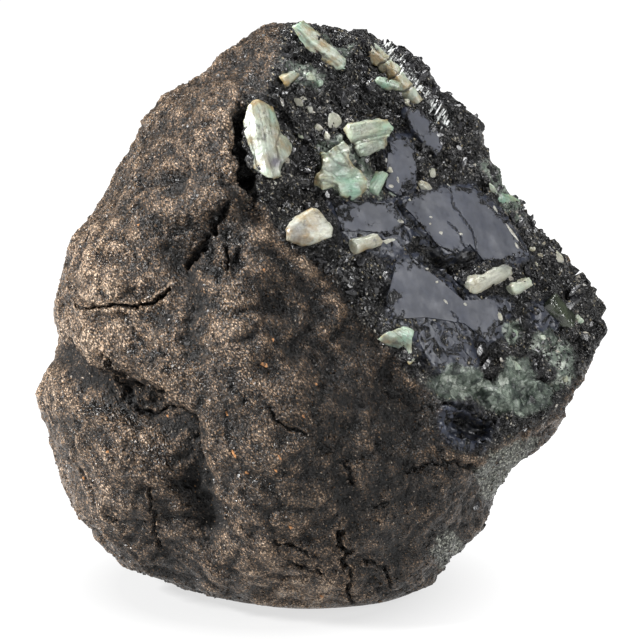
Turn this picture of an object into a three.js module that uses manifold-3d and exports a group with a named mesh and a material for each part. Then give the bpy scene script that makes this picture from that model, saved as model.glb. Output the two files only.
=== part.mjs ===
// Raw emerald: a hand specimen of dark mica schist, weathered brown outside and broken open on one
// side, where pale emerald prisms and grey quartz plates sit in the black rock.
// Millimetres, +Z up, front towards -Y, origin under the middle of the stone at its resting face.
import * as THREE from 'three';
import { mergeVertices } from 'three/addons/utils/BufferGeometryUtils.js';
import { ImprovedNoise } from 'three/addons/math/ImprovedNoise.js';
import Module from 'manifold-3d';

const wasm = await Module();
wasm.setup();
const noise = new ImprovedNoise();

// Driving dimensions of the stone
const CENTRE_HEIGHT = 57; // the stone's middle above its resting face
const FRONT_DEPTH = 43; // from the outline's plane to the belly
const BACK_DEPTH = 40; // from the outline's plane to the back
const DEPTH_POWER = 2.2; // 2 is an ellipse, more is boxier
const SKIN_DETAIL = 16; // subdivisions of the icosahedron that the skin starts from
const FIT_GAP = 0.3; // clearance between a crystal and its socket
const OUTLINE_STEPS = 720;
const BROAD_WINDOW = 22; // degrees each way over which the outline's notches are evened out
const NOTCH_FADE = [0.15, 0.65]; // from where to where the notches fade, by the sine of the turn

// Roughness of the weathered skin: wavelength and height of each layer of lumps
const SKIN_NOISE = [
  { length: 17, height: 1.5 },
  { length: 7.5, height: 0.7 },
];

// Front outline of the stone, [x, z], clockwise from the crown
const OUTLINE = [
  [-6, 115.5], [3, 114.2], [9, 113.2], [16, 110.6], [21.3, 107.8], [25, 101.8], [29, 97.8],
  [32.6, 94.5], [34, 89.5], [38.4, 81], [43, 75.8], [46.8, 71.6], [51, 67.4], [54.2, 62], [59, 55.5],
  [56, 49], [51.5, 42.5], [48.8, 38.5], [48.2, 33], [42.8, 30.4], [38.2, 27], [36, 22.5], [34.5, 16],
  [28.6, 9.2], [22.8, 2.6], [14.5, -4.6], [-2, -6.5], [-17, -3.8], [-27, 0.8], [-34, 3], [-39.3, 4.6],
  [-43.4, 8.6], [-50, 17.2], [-53, 27], [-53.8, 31.5], [-56.2, 34.5], [-58, 40], [-57, 45],
  [-54.4, 49], [-54.2, 55.5], [-52.6, 64], [-50.2, 70.2], [-45.8, 77.5], [-42, 82], [-38.9, 88.5],
  [-35, 95.7], [-31, 100.3], [-25.6, 104.6], [-19.4, 110.6], [-12, 115],
];

// Lumps (+) and hollows (-) of the skin: front-view place [x, z], reach and height
const FRONT_FORMS = [
  { at: [-40, 70], reach: 15, height: 2.5 }, // cheek
  { at: [-8, 42], reach: 24, height: 3 }, // belly
  { at: [-40, 30], reach: 14, height: 2 }, // lower left lobe
  { at: [-4, 12], reach: 14, height: 2 }, // chin
  { at: [-19, 98], reach: 8, height: 2.5 }, // rim beside the tall prism
  { at: [-24, 79], reach: 6, height: -2.5 }, // notch under the rim
  { at: [-36, 46], reach: 6, height: -2.5 }, // cleft between cheek and lobe
  { at: [29, 40], reach: 7, height: -4.5 }, // dark pocket under the broken face
  { at: [33, 27], reach: 8, height: -2.5 }, // hollow on the lower right
];
const BACK_FORMS = [
  { at: [18, 78], reach: 17, height: 3.5 },
  { at: [-24, 62], reach: 14, height: -3.5 },
  { at: [8, 34], reach: 16, height: 3 },
  { at: [-16, 94], reach: 12, height: 2.5 },
  { at: [34, 48], reach: 10, height: -3 },
  { at: [-34, 28], reach: 13, height: 2.5 },
];

// Cracks that run over the weathered front: [x, z] points, half width and depth
const CRACKS = [
  { route: [[-50, 66], [-47, 61], [-40, 61], [-34, 62], [-31, 65]], width: 2.2, depth: 2.4 },
  { route: [[-46, 52], [-42, 47], [-36, 44], [-31, 42], [-28, 34]], width: 2.6, depth: 3 },
  { route: [[-35, 24], [-33, 16], [-31, 10]], width: 2.2, depth: 1.6 },
];

// The broken face: a plane with low relief, and the hollows in it
const FACE_POINT = new THREE.Vector3(36.5, -4, 82);
const FACE_NORMAL = new THREE.Vector3(0.499, -0.757, 0.423).normalize();
const FACE_SIZE = 170;
const FACE_REACH = 90; // how far the broken-off part stood out
const FACE_STEPS = 46;
const FACE_NOISE = [
  { length: 12, height: 0.9 },
  { length: 5, height: 0.5 },
];
const FACE_HOLLOWS = [
  { at: [-10, 96], reach: 9, depth: 3.2 }, // round the tall prism
  { at: [9, 101], reach: 9, depth: 1.6 }, // black mica above the twin prism
  { at: [24, 69], reach: 4, depth: 1.5 }, // step between the quartz plates
  { at: [30, 51], reach: 6, depth: 1 },
];

// Where the broken face bends back, at its lower left, to meet the skin at a blunt edge
const FACE_BEND = { from: [24, 78], towards: [8, 64], start: 14, radius: 30, reach: 5 };

// Quartz plates: outline on the broken face as [x, z] in the front view, height above it, thickness
const PLATES = {
  quartz_plate_upper: {
    outline: [
      [15.5, 82], [19.5, 84], [26, 84.5], [29.5, 83.5], [36, 77.5], [41.5, 70], [32, 70],
      [29, 73.5], [26.5, 72], [22.5, 74], [17.5, 80],
    ],
    proud: 1.4,
    thickness: 5,
  },
  quartz_plate_lower: {
    outline: [
      [14.5, 72], [18.5, 71.5], [23, 68], [28, 63.5], [35, 63], [36.5, 60.5], [33, 55.5],
      [28, 59.5], [20.5, 61.5], [14, 62], [13, 66],
    ],
    proud: 0.5,
    thickness: 5,
  },
  quartz_plate_left: {
    outline: [[2.5, 83], [6, 83.7], [14, 82.5], [16, 79], [14.5, 77], [8, 78.3], [4, 78.7]],
    proud: 0.8,
    thickness: 4,
  },
  quartz_blade: {
    outline: [[16.3, 100], [19.6, 99], [22, 96.5], [24, 92.6], [22.7, 90.3], [20, 93], [17.5, 96.3]],
    proud: 1.2,
    thickness: 4,
  },
  quartz_grain: {
    outline: [[13.4, 93.9], [17, 94.5], [18.3, 92], [18.8, 88], [18.2, 85], [14.7, 84.3], [12.4, 86]],
    proud: 0.6,
    thickness: 4,
  },
};

// Beryl crystals, each a group of six-sided prisms grown together. A prism runs between two places
// of the broken face, its axis standing proud of it, with its width across flats
const CRYSTALS = {
  emerald_tall_prism: [
    { from: [-8.8, 89.1], to: [-12.3, 103.9], width: 6.8, proud: -0.6, taper: 0.8, tilt: 0.3 },
    { from: [-6.6, 92.4], to: [-8.2, 97.2], width: 3.6, proud: -0.4, taper: 0.8, tilt: 0 },
  ],
  emerald_twin_prism: [
    { from: [4.7, 96.5], to: [14.1, 97.4], width: 4, proud: 0.9, taper: 0.9, tilt: 0.2 },
    { from: [7, 92.8], to: [13.2, 94.1], width: 3.8, proud: 0.7, taper: 0.95, tilt: -0.3 },
  ],
  emerald_cluster: [
    { from: [0.2, 92], to: [4.9, 93.7], width: 2.8, proud: 0.5, taper: 0.9, tilt: 0.3 },
    { from: [-0.4, 89.9], to: [6.3, 92.2], width: 3, proud: 0.9, taper: 0.9, tilt: -0.2 },
    { from: [-0.8, 87.9], to: [5.9, 90], width: 3, proud: 0.7, taper: 0.9, tilt: 0.2 },
    { from: [2.6, 86.4], to: [8.4, 86.7], width: 3.4, proud: 0.6, taper: 0.85, tilt: 0.4 },
    { from: [6.2, 90.5], to: [8.2, 87], width: 2.4, proud: 0.4, taper: 0.9, tilt: 0 },
  ],
  emerald_side_stub: [
    { from: [10, 85], to: [11.8, 88], width: 2, proud: 0.5, taper: 0.9, tilt: 0.3 },
  ],
  emerald_crown_blade: [
    { from: [-4.7, 116], to: [4.5, 108.2], width: 4.4, proud: -2.2, taper: 0.9, tilt: 0.4 },
  ],
  emerald_crown_stub: [
    { from: [-7.6, 106.4], to: [-3.5, 109], width: 3, proud: -0.6, taper: 0.8, tilt: 0.3 },
  ],
  emerald_ridge_chain: [
    { from: [9.1, 111.3], to: [13.6, 107.6], width: 2.6, proud: -2, taper: 1, tilt: 0.2 },
    { from: [13, 108.2], to: [16.2, 104], width: 2.9, proud: -1.7, taper: 0.9, tilt: 0.3 },
    { from: [15.8, 104.6], to: [19.6, 100.6], width: 2.4, proud: -1.4, taper: 0.8, tilt: -0.3 },
  ],
  emerald_ridge_stub: [
    { from: [10.6, 105.6], to: [14, 103.4], width: 2.6, proud: -0.6, taper: 0.9, tilt: 0.2 },
  ],
  beryl_white_prism: [
    { from: [28.6, 65.9], to: [38, 68.9], width: 3.8, proud: 0.8, taper: 0.85, tilt: 0.3 },
  ],
  beryl_white_stub: [
    { from: [37.6, 64.2], to: [42.8, 65.8], width: 2.9, proud: 0.5, taper: 0.8, tilt: -0.3 },
  ],
  beryl_cream_crystal: [
    { from: [1.9, 77.6], to: [-1.6, 82.8], width: 4.4, proud: 0.4, taper: 0.8, tilt: 0.3 },
    { from: [0, 79.6], to: [-4.6, 79.2], width: 3, proud: 0.3, taper: 0.7, tilt: 0.2 },
  ],
  beryl_low_chip: [
    { from: [6.2, 75.6], to: [10.7, 76.4], width: 2.3, proud: 0.5, taper: 0.8, tilt: 0.4 },
  ],
  emerald_wedge: [
    { from: [12.6, 59.6], to: [17.4, 58.6], width: 2.8, proud: 0.1, taper: 1, tilt: 0.4 },
    { from: [17, 59], to: [17, 54.6], width: 2.2, proud: 0, taper: 0.7, tilt: 0 },
  ],
  emerald_edge_chip: [
    { from: [35.4, 82.2], to: [40.2, 79.8], width: 2.6, proud: -1.1, taper: 0.9, tilt: 0.3 },
  ],
  emerald_dark_grain: [
    { from: [46, 61.4], to: [50.4, 56.6], width: 4.4, proud: -0.8, taper: 0.9, tilt: 0.2 },
  ],
};

const COLOURS = {
  schist: { color: 0x2e2a27, roughness: 0.75 },
  quartz: { color: 0x5c5d64, roughness: 0.3 },
  emerald: { color: 0x9dbfa6, roughness: 0.4 },
  beryl: { color: 0xc9cdbf, roughness: 0.45 },
};

// Solids and geometry

function solidFrom(geometry) {
  const bare = geometry.clone();
  bare.deleteAttribute('normal');
  bare.deleteAttribute('uv');
  const merged = mergeVertices(bare);
  return new wasm.Manifold(new wasm.Mesh({
    numProp: 3,
    vertProperties: merged.attributes.position.array,
    triVerts: merged.index.array,
  }));
}

function geometryFrom(solid) {
  const mesh = solid.getMesh();
  const geometry = new THREE.BufferGeometry();
  geometry.setAttribute('position', new THREE.BufferAttribute(mesh.vertProperties, 3));
  geometry.setIndex(new THREE.BufferAttribute(mesh.triVerts, 1));
  geometry.computeVertexNormals();
  return geometry;
}

// Moves each vertex of a geometry to where `place` says, a function of its old position
function movePoints(geometry, place) {
  const position = geometry.attributes.position;
  const point = new THREE.Vector3();
  for (let i = 0; i < position.count; i++) {
    const moved = place(point.fromBufferAttribute(position, i));
    position.setXYZ(i, moved.x, moved.y, moved.z);
  }
  return geometry;
}

function layeredNoise(layers, x, y, z) {
  return layers.reduce(
    (sum, { length, height }) => sum + height * noise.noise(x / length, y / length, z / length),
    0,
  );
}

// The stone's skin

const outlineCurve = new THREE.CatmullRomCurve3(
  OUTLINE.map(([x, z]) => new THREE.Vector3(x, 0, z - CENTRE_HEIGHT)),
  true,
  'catmullrom',
  0.5,
);
const outlineByAngle = outlineCurve
  .getPoints(OUTLINE_STEPS)
  .map(({ x, z }) => ({ angle: Math.atan2(z, x), radius: Math.hypot(x, z) }))
  .sort((a, b) => a.angle - b.angle);

// Distance from the stone's middle to its front outline, at an angle in the outline's plane
function outlineRadius(angle) {
  const last = outlineByAngle.length - 1;
  const after = outlineByAngle.findIndex((sample) => sample.angle >= angle);
  if (after <= 0) {
    return outlineByAngle[after === 0 ? 0 : last].radius;
  }
  const [a, b] = [outlineByAngle[after - 1], outlineByAngle[after]];
  const share = (angle - a.angle) / Math.max(b.angle - a.angle, 1e-9);
  return THREE.MathUtils.lerp(a.radius, b.radius, share);
}

// The same distance with the outline's notches evened out
const broadByDegree = Array.from({ length: 360 }, (_, degree) => {
  let sum = 0;
  for (let aside = -BROAD_WINDOW; aside <= BROAD_WINDOW; aside++) {
    const turned = THREE.MathUtils.euclideanModulo(degree + aside + 180, 360) - 180;
    sum += outlineRadius(THREE.MathUtils.degToRad(turned));
  }
  return sum / (2 * BROAD_WINDOW + 1);
});

function broadRadius(angle) {
  const degrees = THREE.MathUtils.euclideanModulo(THREE.MathUtils.radToDeg(angle), 360);
  const before = Math.floor(degrees);
  return THREE.MathUtils.lerp(
    broadByDegree[before % 360],
    broadByDegree[(before + 1) % 360],
    degrees - before,
  );
}

const sideDepth = (y) => (y < 0 ? FRONT_DEPTH : BACK_DEPTH);

// Smooth stone in one direction from its middle, before lumps and cracks. The outline's notches
// fade out towards the front and the back
function smoothSkin(direction) {
  const across = Math.hypot(direction.x, direction.z);
  const angle = Math.atan2(direction.z, direction.x);
  const fade = THREE.MathUtils.smoothstep(Math.abs(direction.y), ...NOTCH_FADE);
  const radius = THREE.MathUtils.lerp(outlineRadius(angle), broadRadius(angle), fade);
  const depth = sideDepth(direction.y);
  const sum = (across / radius) ** DEPTH_POWER + (Math.abs(direction.y) / depth) ** DEPTH_POWER;
  return direction.clone().multiplyScalar(sum ** (-1 / DEPTH_POWER));
}

// The place on the smooth skin that the front view, or the back, shows at [x, z]
function skinPlace([x, z], side) {
  const height = z - CENTRE_HEIGHT;
  const share = Math.min(Math.hypot(x, height) / outlineRadius(Math.atan2(height, x)), 1);
  const depth = sideDepth(side) * (1 - share ** DEPTH_POWER) ** (1 / DEPTH_POWER);
  return new THREE.Vector3(x, side * depth, height);
}

const forms = [
  ...FRONT_FORMS.map((form) => ({ ...form, centre: skinPlace(form.at, -1) })),
  ...BACK_FORMS.map((form) => ({ ...form, centre: skinPlace(form.at, 1) })),
];
const cracks = CRACKS.map((crack) => {
  const places = crack.route.map((at) => skinPlace(at, -1));
  const legs = places.slice(1).map((end, i) => new THREE.Line3(places[i], end));
  return { ...crack, legs };
});

const bell = (distance, reach) => Math.exp(-((distance / reach) ** 2));

function distanceToLegs(point, legs) {
  const nearest = new THREE.Vector3();
  return Math.min(
    ...legs.map((leg) => leg.closestPointToPoint(point, true, nearest).distanceTo(point)),
  );
}

function skinPoint(direction) {
  const point = smoothSkin(direction);
  let rise = layeredNoise(SKIN_NOISE, point.x, point.y, point.z);
  for (const { centre, reach, height } of forms) {
    rise += height * bell(point.distanceTo(centre), reach);
  }
  for (const { legs, width, depth } of cracks) {
    rise -= depth * bell(distanceToLegs(point, legs), width);
  }
  return point.addScaledVector(direction, rise);
}

function wholeStone() {
  const skin = new THREE.IcosahedronGeometry(1, SKIN_DETAIL);
  movePoints(skin, (corner) => skinPoint(corner.clone().normalize()));
  skin.translate(0, 0, CENTRE_HEIGHT);
  return solidFrom(skin);
}

// The broken face

const faceAcross = new THREE.Vector3(0, 0, 1).cross(FACE_NORMAL).normalize();
const faceRise = FACE_NORMAL.clone().cross(faceAcross);
const faceFrame = new THREE.Matrix4()
  .makeBasis(faceAcross, faceRise, FACE_NORMAL)
  .setPosition(FACE_POINT);

// The place on the broken face's plane that the front view shows at [x, z]
function facePlace([x, z]) {
  const slope = FACE_NORMAL.x * (x - FACE_POINT.x) + FACE_NORMAL.z * (z - FACE_POINT.z);
  return new THREE.Vector3(x, FACE_POINT.y - slope / FACE_NORMAL.y, z);
}

// The same place in the face's own two axes
function onFace(at) {
  const offset = facePlace(at).sub(FACE_POINT);
  return new THREE.Vector2(offset.dot(faceAcross), offset.dot(faceRise));
}

const faceHollows = FACE_HOLLOWS.map((hollow) => ({ ...hollow, centre: onFace(hollow.at) }));

const bendFrom = onFace(FACE_BEND.from);
const bendWay = onFace(FACE_BEND.towards).sub(bendFrom).normalize();

// How far the bend has dropped at a place of the face: an arc, then straight on
function bendDrop(place) {
  const { start, radius, reach } = FACE_BEND;
  const past = Math.max(place.clone().sub(bendFrom).dot(bendWay) - start, 0);
  const onArc = Math.min(past, reach);
  return (onArc ** 2 / 2 + reach * (past - onArc)) / radius;
}

function faceRelief(u, v) {
  const place = new THREE.Vector2(u, v);
  return faceHollows.reduce(
    (rise, { centre, reach, depth }) => rise - depth * bell(place.distanceTo(centre), reach),
    layeredNoise(FACE_NOISE, u, v, 0) - bendDrop(place),
  );
}

// The part that broke away: a block whose under side carries the relief
function brokenAway() {
  const block = new THREE.BoxGeometry(FACE_SIZE, FACE_SIZE, FACE_REACH, FACE_STEPS, FACE_STEPS, 1);
  block.translate(0, 0, FACE_REACH / 2);
  const isUnder = (z) => z < FACE_REACH / 2;
  movePoints(block, (p) => (isUnder(p.z) ? p.clone().setZ(faceRelief(p.x, p.y)) : p));
  return solidFrom(block.applyMatrix4(faceFrame));
}

// Crystals

// One six-sided prism, grown outwards by `grow` on every side to make its socket
function prismSolid({ from, to, width, proud, taper, tilt }, grow) {
  const start = facePlace(from).addScaledVector(FACE_NORMAL, proud);
  const end = facePlace(to).addScaledVector(FACE_NORMAL, proud);
  const axis = end.clone().sub(start);
  const length = axis.length() + 2 * grow;
  const radius = (width / 2 + grow) / Math.cos(Math.PI / 6);
  const tipRadius = (taper * width / 2 + grow) / Math.cos(Math.PI / 6);
  const prism = new THREE.CylinderGeometry(tipRadius, radius, length, 6, 1);
  prism.rotateY(Math.PI / 6);
  movePoints(prism, (p) => (p.y > 0 ? p.clone().setY(p.y + tilt * p.x) : p));
  const outward = FACE_NORMAL.clone();
  axis.normalize();
  const aside = axis.clone().cross(outward).normalize();
  const turn = new THREE.Matrix4().makeBasis(aside, axis, aside.clone().cross(axis));
  prism.applyMatrix4(turn.setPosition(start.add(end).multiplyScalar(0.5)));
  return solidFrom(prism);
}

function crystalSolid(prisms, grow = 0) {
  return prisms.map((prism) => prismSolid(prism, grow)).reduce((a, b) => a.add(b));
}

// An outline with every edge moved outwards by `grow`
function grownOutline(points, grow) {
  const turn = THREE.ShapeUtils.isClockWise(points) ? -1 : 1;
  return points.map((point, i) => {
    const before = points[(i + points.length - 1) % points.length];
    const after = points[(i + 1) % points.length];
    const [edgeIn, edgeOut] = [point.clone().sub(before), after.clone().sub(point)]
      .map((edge) => edge.normalize());
    const [normalIn, normalOut] = [edgeIn, edgeOut]
      .map(({ x, y }) => new THREE.Vector2(y, -x).multiplyScalar(turn));
    const corner = normalIn.clone().add(normalOut);
    return point.clone().addScaledVector(corner, grow / (1 + normalIn.dot(normalOut)));
  });
}

// A flat plate on the broken face. Its socket is open upwards by `clear`
function plateSolid({ outline, proud, thickness }, grow = 0, clear = 0) {
  const shape = new THREE.Shape(grownOutline(outline.map(onFace), grow));
  const plate = new THREE.ExtrudeGeometry(shape, {
    depth: thickness + grow + clear,
    bevelEnabled: false,
  });
  plate.translate(0, 0, proud - thickness - grow);
  return solidFrom(plate.applyMatrix4(faceFrame));
}

// Assembly

const SOCKET_CLEARANCE = 6; // rock removed above a quartz plate
const crystalsInOrder = [
  ...Object.entries(CRYSTALS).map(([name, prisms]) => ({
    name,
    finish: name.split('_')[0],
    solid: crystalSolid(prisms),
    socket: crystalSolid(prisms, FIT_GAP),
  })),
  ...Object.entries(PLATES).map(([name, plate]) => ({
    name,
    finish: 'quartz',
    solid: plateSolid(plate),
    socket: plateSolid(plate, FIT_GAP, SOCKET_CLEARANCE),
  })),
];

function underFloor() {
  const size = 400;
  return solidFrom(new THREE.BoxGeometry(size, size, size).translate(0, 0, -size / 2));
}

let matrix = wholeStone().subtract(brokenAway()).subtract(underFloor());
const pieces = [];
let taken = null; // sockets of the crystals already placed
for (const { name, finish, solid, socket } of crystalsInOrder) {
  pieces.push({ name, finish, solid: taken ? solid.subtract(taken) : solid });
  matrix = matrix.subtract(socket);
  taken = taken ? taken.add(socket) : socket;
}
pieces.unshift({ name: 'schist_matrix', finish: 'schist', solid: matrix });

const emerald = new THREE.Group();
for (const { name, finish, solid } of pieces) {
  const material = new THREE.MeshStandardMaterial({ ...COLOURS[finish], metalness: 0 });
  const mesh = new THREE.Mesh(geometryFrom(solid), material);
  mesh.name = name;
  emerald.add(mesh);
}

// The origin goes under the middle of the whole stone
const middle = new THREE.Box3().setFromObject(emerald).getCenter(new THREE.Vector3());
emerald.children.forEach((mesh) => mesh.position.set(-middle.x, -middle.y, 0));

export default emerald;
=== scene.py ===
"""Looks of the raw emerald: weathered schist, its broken face, and the crystals and quartz in it.

A place on the stone is written as a pixel of the photograph, (across, down) in a frame of 640 by
640, and is carried onto the stone along the camera's line of sight. Lengths are in millimetres.
"""
import math

import bmesh
import bpy
import numpy as np
from mathutils import Matrix, Vector, noise
from mathutils.bvhtree import BVHTree
from mathutils.geometry import convex_hull_2d


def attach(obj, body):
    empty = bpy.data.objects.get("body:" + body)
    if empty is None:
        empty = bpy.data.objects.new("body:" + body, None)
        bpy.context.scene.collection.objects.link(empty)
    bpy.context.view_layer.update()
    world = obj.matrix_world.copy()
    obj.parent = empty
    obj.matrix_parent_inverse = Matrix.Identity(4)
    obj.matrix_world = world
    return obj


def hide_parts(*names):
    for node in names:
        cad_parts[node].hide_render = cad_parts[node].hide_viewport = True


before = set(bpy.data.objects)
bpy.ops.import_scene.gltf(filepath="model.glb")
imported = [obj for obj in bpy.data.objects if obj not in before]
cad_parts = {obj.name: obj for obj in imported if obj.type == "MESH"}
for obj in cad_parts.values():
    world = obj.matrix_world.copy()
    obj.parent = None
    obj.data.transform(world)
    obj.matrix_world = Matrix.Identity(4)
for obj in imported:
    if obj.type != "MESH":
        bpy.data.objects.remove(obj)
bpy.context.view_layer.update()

MM = 0.001
draws = np.random.default_rng(11)

# The photograph's view
PHOTO_SIDE = 640
VIEW_TARGET = np.array((-0.33, 1.79, 55.5))
VIEW_ELEVATION = math.radians(12)
VIEW_DISTANCE = 550
VIEW_WIDTH = 131.2  # across the frame, at the target
SENSOR_WIDTH = 36
RIGHT = np.array((1.0, 0.0, 0.0))
SIGHT = np.array((0.0, math.cos(VIEW_ELEVATION), -math.sin(VIEW_ELEVATION)))
UP = np.array((0.0, math.sin(VIEW_ELEVATION), math.cos(VIEW_ELEVATION)))
EYE = VIEW_TARGET - VIEW_DISTANCE * SIGHT
PIXEL = VIEW_WIDTH / PHOTO_SIDE

# The broken face, as in the solids, and the way the rock's layers run
FACE_POINT = Vector((36.17, -2.21, 82.0))
FACE_NORMAL = Vector((0.499, -0.757, 0.423)).normalized()
LAYER = Vector((0.62, -0.25, -0.74)).normalized()
CHIP_WAY = Vector((0.415, -0.825, 0.385)).normalized()  # chips lie to catch the right lamp

# How fine the meshes are
STONE_VOXEL = 0.96
CRYSTAL_VOXEL = 0.22
PLATE_VOXEL = 0.3

# Edge of the broken face, all round
BROKEN_EDGE = [
    (285, 20), (277, 60), (262, 92), (243, 96), (232, 120), (232, 160), (240, 186), (262, 210),
    (288, 250), (318, 268), (350, 302), (378, 338), (402, 366), (430, 392), (436, 414), (440, 446),
    (478, 454), (502, 438), (530, 428), (556, 412), (582, 372), (612, 345), (622, 300), (565, 230),
    (525, 190), (492, 150), (484, 100), (440, 58), (400, 33), (340, 16),
]
FACE_MIDDLE = np.array((430.0, 230.0))
# Grey quartz in the rock round the plates: the height over the broken face that it is levelled to,
# or None where it isn't, and its outline
GREY_PATCHES = [
    (1.1, [(392, 212), (402, 198), (440, 186), (470, 184), (500, 212), (532, 258), (512, 268),
        (470, 262), (440, 262), (416, 244)]),
    (0.25, [(386, 322), (390, 258), (416, 252), (470, 292), (512, 300), (508, 334), (484, 352),
        (474, 378), (434, 376), (404, 332)]),
    (0.5, [(326, 204), (396, 198), (416, 244), (392, 262), (344, 244)]),
    (0.2, [(378, 140), (410, 132), (416, 190), (392, 200)]),
    (0.3, [(531, 303), (552, 297), (557, 328), (542, 336), (530, 322)]),
    (None, [(434, 412), (452, 402), (472, 409), (494, 424), (488, 446), (464, 453), (442, 442)]),
]
# Green beryl that is only colour in the rock
GREEN_PATCHES = [
    [(424, 384), (446, 366), (478, 368), (494, 384), (508, 358), (530, 356), (536, 380), (556, 384),
     (552, 404), (530, 418), (496, 412), (470, 398), (446, 400)],
    [(502, 324), (520, 318), (526, 338), (508, 346)],
    [(534, 334), (552, 330), (572, 348), (574, 384), (558, 392), (548, 362), (532, 350)],
    [(280, 62), (304, 62), (330, 74), (324, 92), (300, 88), (284, 80)],
    [(322, 38), (352, 46), (350, 62), (334, 58)],
    [(316, 144), (340, 136), (376, 170), (380, 196), (340, 200), (318, 188)],
    [(474, 160), (486, 158), (512, 196), (524, 222), (514, 226), (498, 204)],
]
# Pale places in the rind of the lower right edge
PALE_PATCHES = [
    [(474, 470), (490, 452), (520, 440), (540, 440), (514, 466), (506, 482), (484, 500)],
    [(428, 548), (450, 530), (462, 544), (440, 566)],
]
# Bright fibres along the ridge
FIBRE_BAND = [(380, 42), (398, 62), (418, 84), (434, 106), (447, 126)]
# Cracks, with painted shade inside: half width in pixels, depth and route
CRACKS = [
    (2.2, 1.8, [(79, 281), (83, 296), (88, 308), (101, 306), (119, 304), (135, 308), (152, 304),
        (162, 296)]),
    (3.0, 1.6, [(156, 301), (167, 291)]),
    (3.4, 2.8, [(105, 359), (116, 380), (126, 391), (140, 397), (159, 397), (172, 404), (177, 414),
        (182, 430), (188, 441), (189, 452)]),
    (1.8, 1.3, [(107, 382), (116, 395), (124, 405), (136, 412), (153, 414), (164, 414),
        (174, 410)]),
    (1.7, 1.0, [(147, 489), (151, 502), (155, 514), (155, 529), (162, 544)]),
    (4.4, 2.4, [(226, 204), (223, 214), (215, 222), (213, 230)]),
    (2.6, 1.5, [(206, 236), (200, 247), (190, 249), (180, 262)]),
    (1.8, 0.8, [(226, 246), (228, 260), (227, 274)]),
    (1.6, 0.8, [(270, 406), (275, 416), (287, 426), (304, 431)]),
    (1.7, 0.8, [(344, 464), (349, 472), (353, 483)]),
    (3.6, 2.0, [(340, 530), (336, 542), (346, 548), (342, 560)]),
    (2.4, 1.4, [(343, 564), (350, 574), (345, 584), (352, 600)]),
    (1.6, 0.7, [(280, 537), (297, 542), (316, 552)]),
    (1.8, 0.8, [(290, 558), (305, 561), (320, 569)]),
    (1.6, 0.8, [(349, 565), (372, 560), (385, 569), (388, 582)]),
    (2.4, 1.2, [(441, 404), (456, 407), (470, 410), (494, 422)]),
    (1.6, 0.7, [(408, 472), (431, 464), (450, 462), (473, 468)]),
    (2.2, 0.9, [(396, 205), (409, 223), (421, 237), (428, 244)]),
    (1.4, 0.5, [(388, 214), (402, 232), (412, 246)]),
    (2.0, 0.9, [(418, 260), (433, 276), (449, 284), (460, 298), (466, 306)]),
    (1.4, 0.6, [(440, 264), (452, 279), (463, 288)]),
]
# Broad folds of the rind: half width in pixels, height and route
FOLDS = [
    (14, -0.9, [(184, 254), (160, 276), (130, 296)]),
    (15, -3.3, [(62, 352), (88, 378), (116, 392), (150, 408), (182, 430)]),
    (17, -4.0, [(182, 430), (190, 462), (194, 490), (210, 524)]),
    (34, 2.6, [(86, 250), (104, 300), (100, 326)]),
    (34, 2.2, [(92, 450), (118, 500), (140, 540)]),
    (46, 2.4, [(236, 350), (270, 420), (276, 480)]),
    (17, -2.4, [(178, 262), (196, 300), (190, 350)]),
    (16, 2.0, [(150, 200), (190, 215), (214, 200)]),
    (9, 1.2, [(270, 214), (300, 262), (340, 312)]),
    (12, 1.0, [(400, 400), (430, 420), (452, 404)]),
    (20, 0.8, [(206, 440), (240, 490), (262, 540)]),
    (9, -0.6, [(60, 352), (78, 392), (74, 430)]),
    (22, 0.7, [(300, 380), (350, 420), (396, 440)]),
    (12, -0.9, [(345, 430), (338, 470), (352, 520)]),
    (10, 1.0, [(225, 205), (245, 228), (262, 240)]),
    (6, 1.3, [(236, 100), (226, 130), (230, 170), (246, 200)]),
    (12, 0.8, [(285, 552), (330, 580), (360, 590)]),
    (8, 0.8, [(400, 455), (440, 452), (478, 455)]),
    (10, 0.8, [(150, 170), (190, 150), (215, 120)]),
    (8, -0.9, [(140, 205), (175, 190), (200, 170)]),
]
# Fine parallel ridges: turn in degrees, spacing in pixels, height and outline
STRIAE = [
    (40, 4.0, 0.55, [(140, 240), (150, 212), (188, 194), (216, 196), (208, 226), (176, 246)]),
    (-52, 3.0, 0.4, [(388, 204), (400, 200), (446, 262), (470, 304), (456, 304), (414, 250)]),
    (18, 6.0, 0.4, [(200, 60), (262, 40), (270, 84), (236, 100), (190, 110)]),
    (-52, 5.0, 0.22, [(196, 330), (330, 300), (420, 400), (400, 520), (260, 560), (200, 450)]),
]
# Hollows, sunk and with painted shade: depth and outline
POCKETS = [
    (2.2, [(233, 118), (239, 106), (247, 110), (243, 140), (250, 166), (264, 186), (250, 192),
        (240, 184), (234, 160)]),
    (1.8, [(283, 34), (296, 38), (318, 62), (302, 64), (286, 52)]),
    (1.6, [(328, 30), (350, 38), (346, 50), (334, 46)]),
    (1.2, [(362, 50), (378, 58), (400, 84), (388, 84), (368, 66)]),
    (3.2, [(454, 411), (470, 413), (490, 424), (490, 436), (478, 442), (464, 437), (456, 426)]),
    (0.9, [(420, 255), (428, 242), (444, 257), (449, 264), (433, 274), (421, 264)]),
    (0.8, [(447, 260), (464, 249), (470, 252), (474, 261), (479, 264), (463, 270)]),
    (0.9, [(470, 342), (492, 344), (502, 360), (494, 384), (478, 366)]),
    (1.4, [(196, 246), (207, 240), (214, 251), (204, 262)]),
    (1.4, [(228, 256), (239, 250), (246, 266), (234, 276)]),
    (1.2, [(212, 262), (222, 266), (220, 282), (210, 276)]),
]
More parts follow.
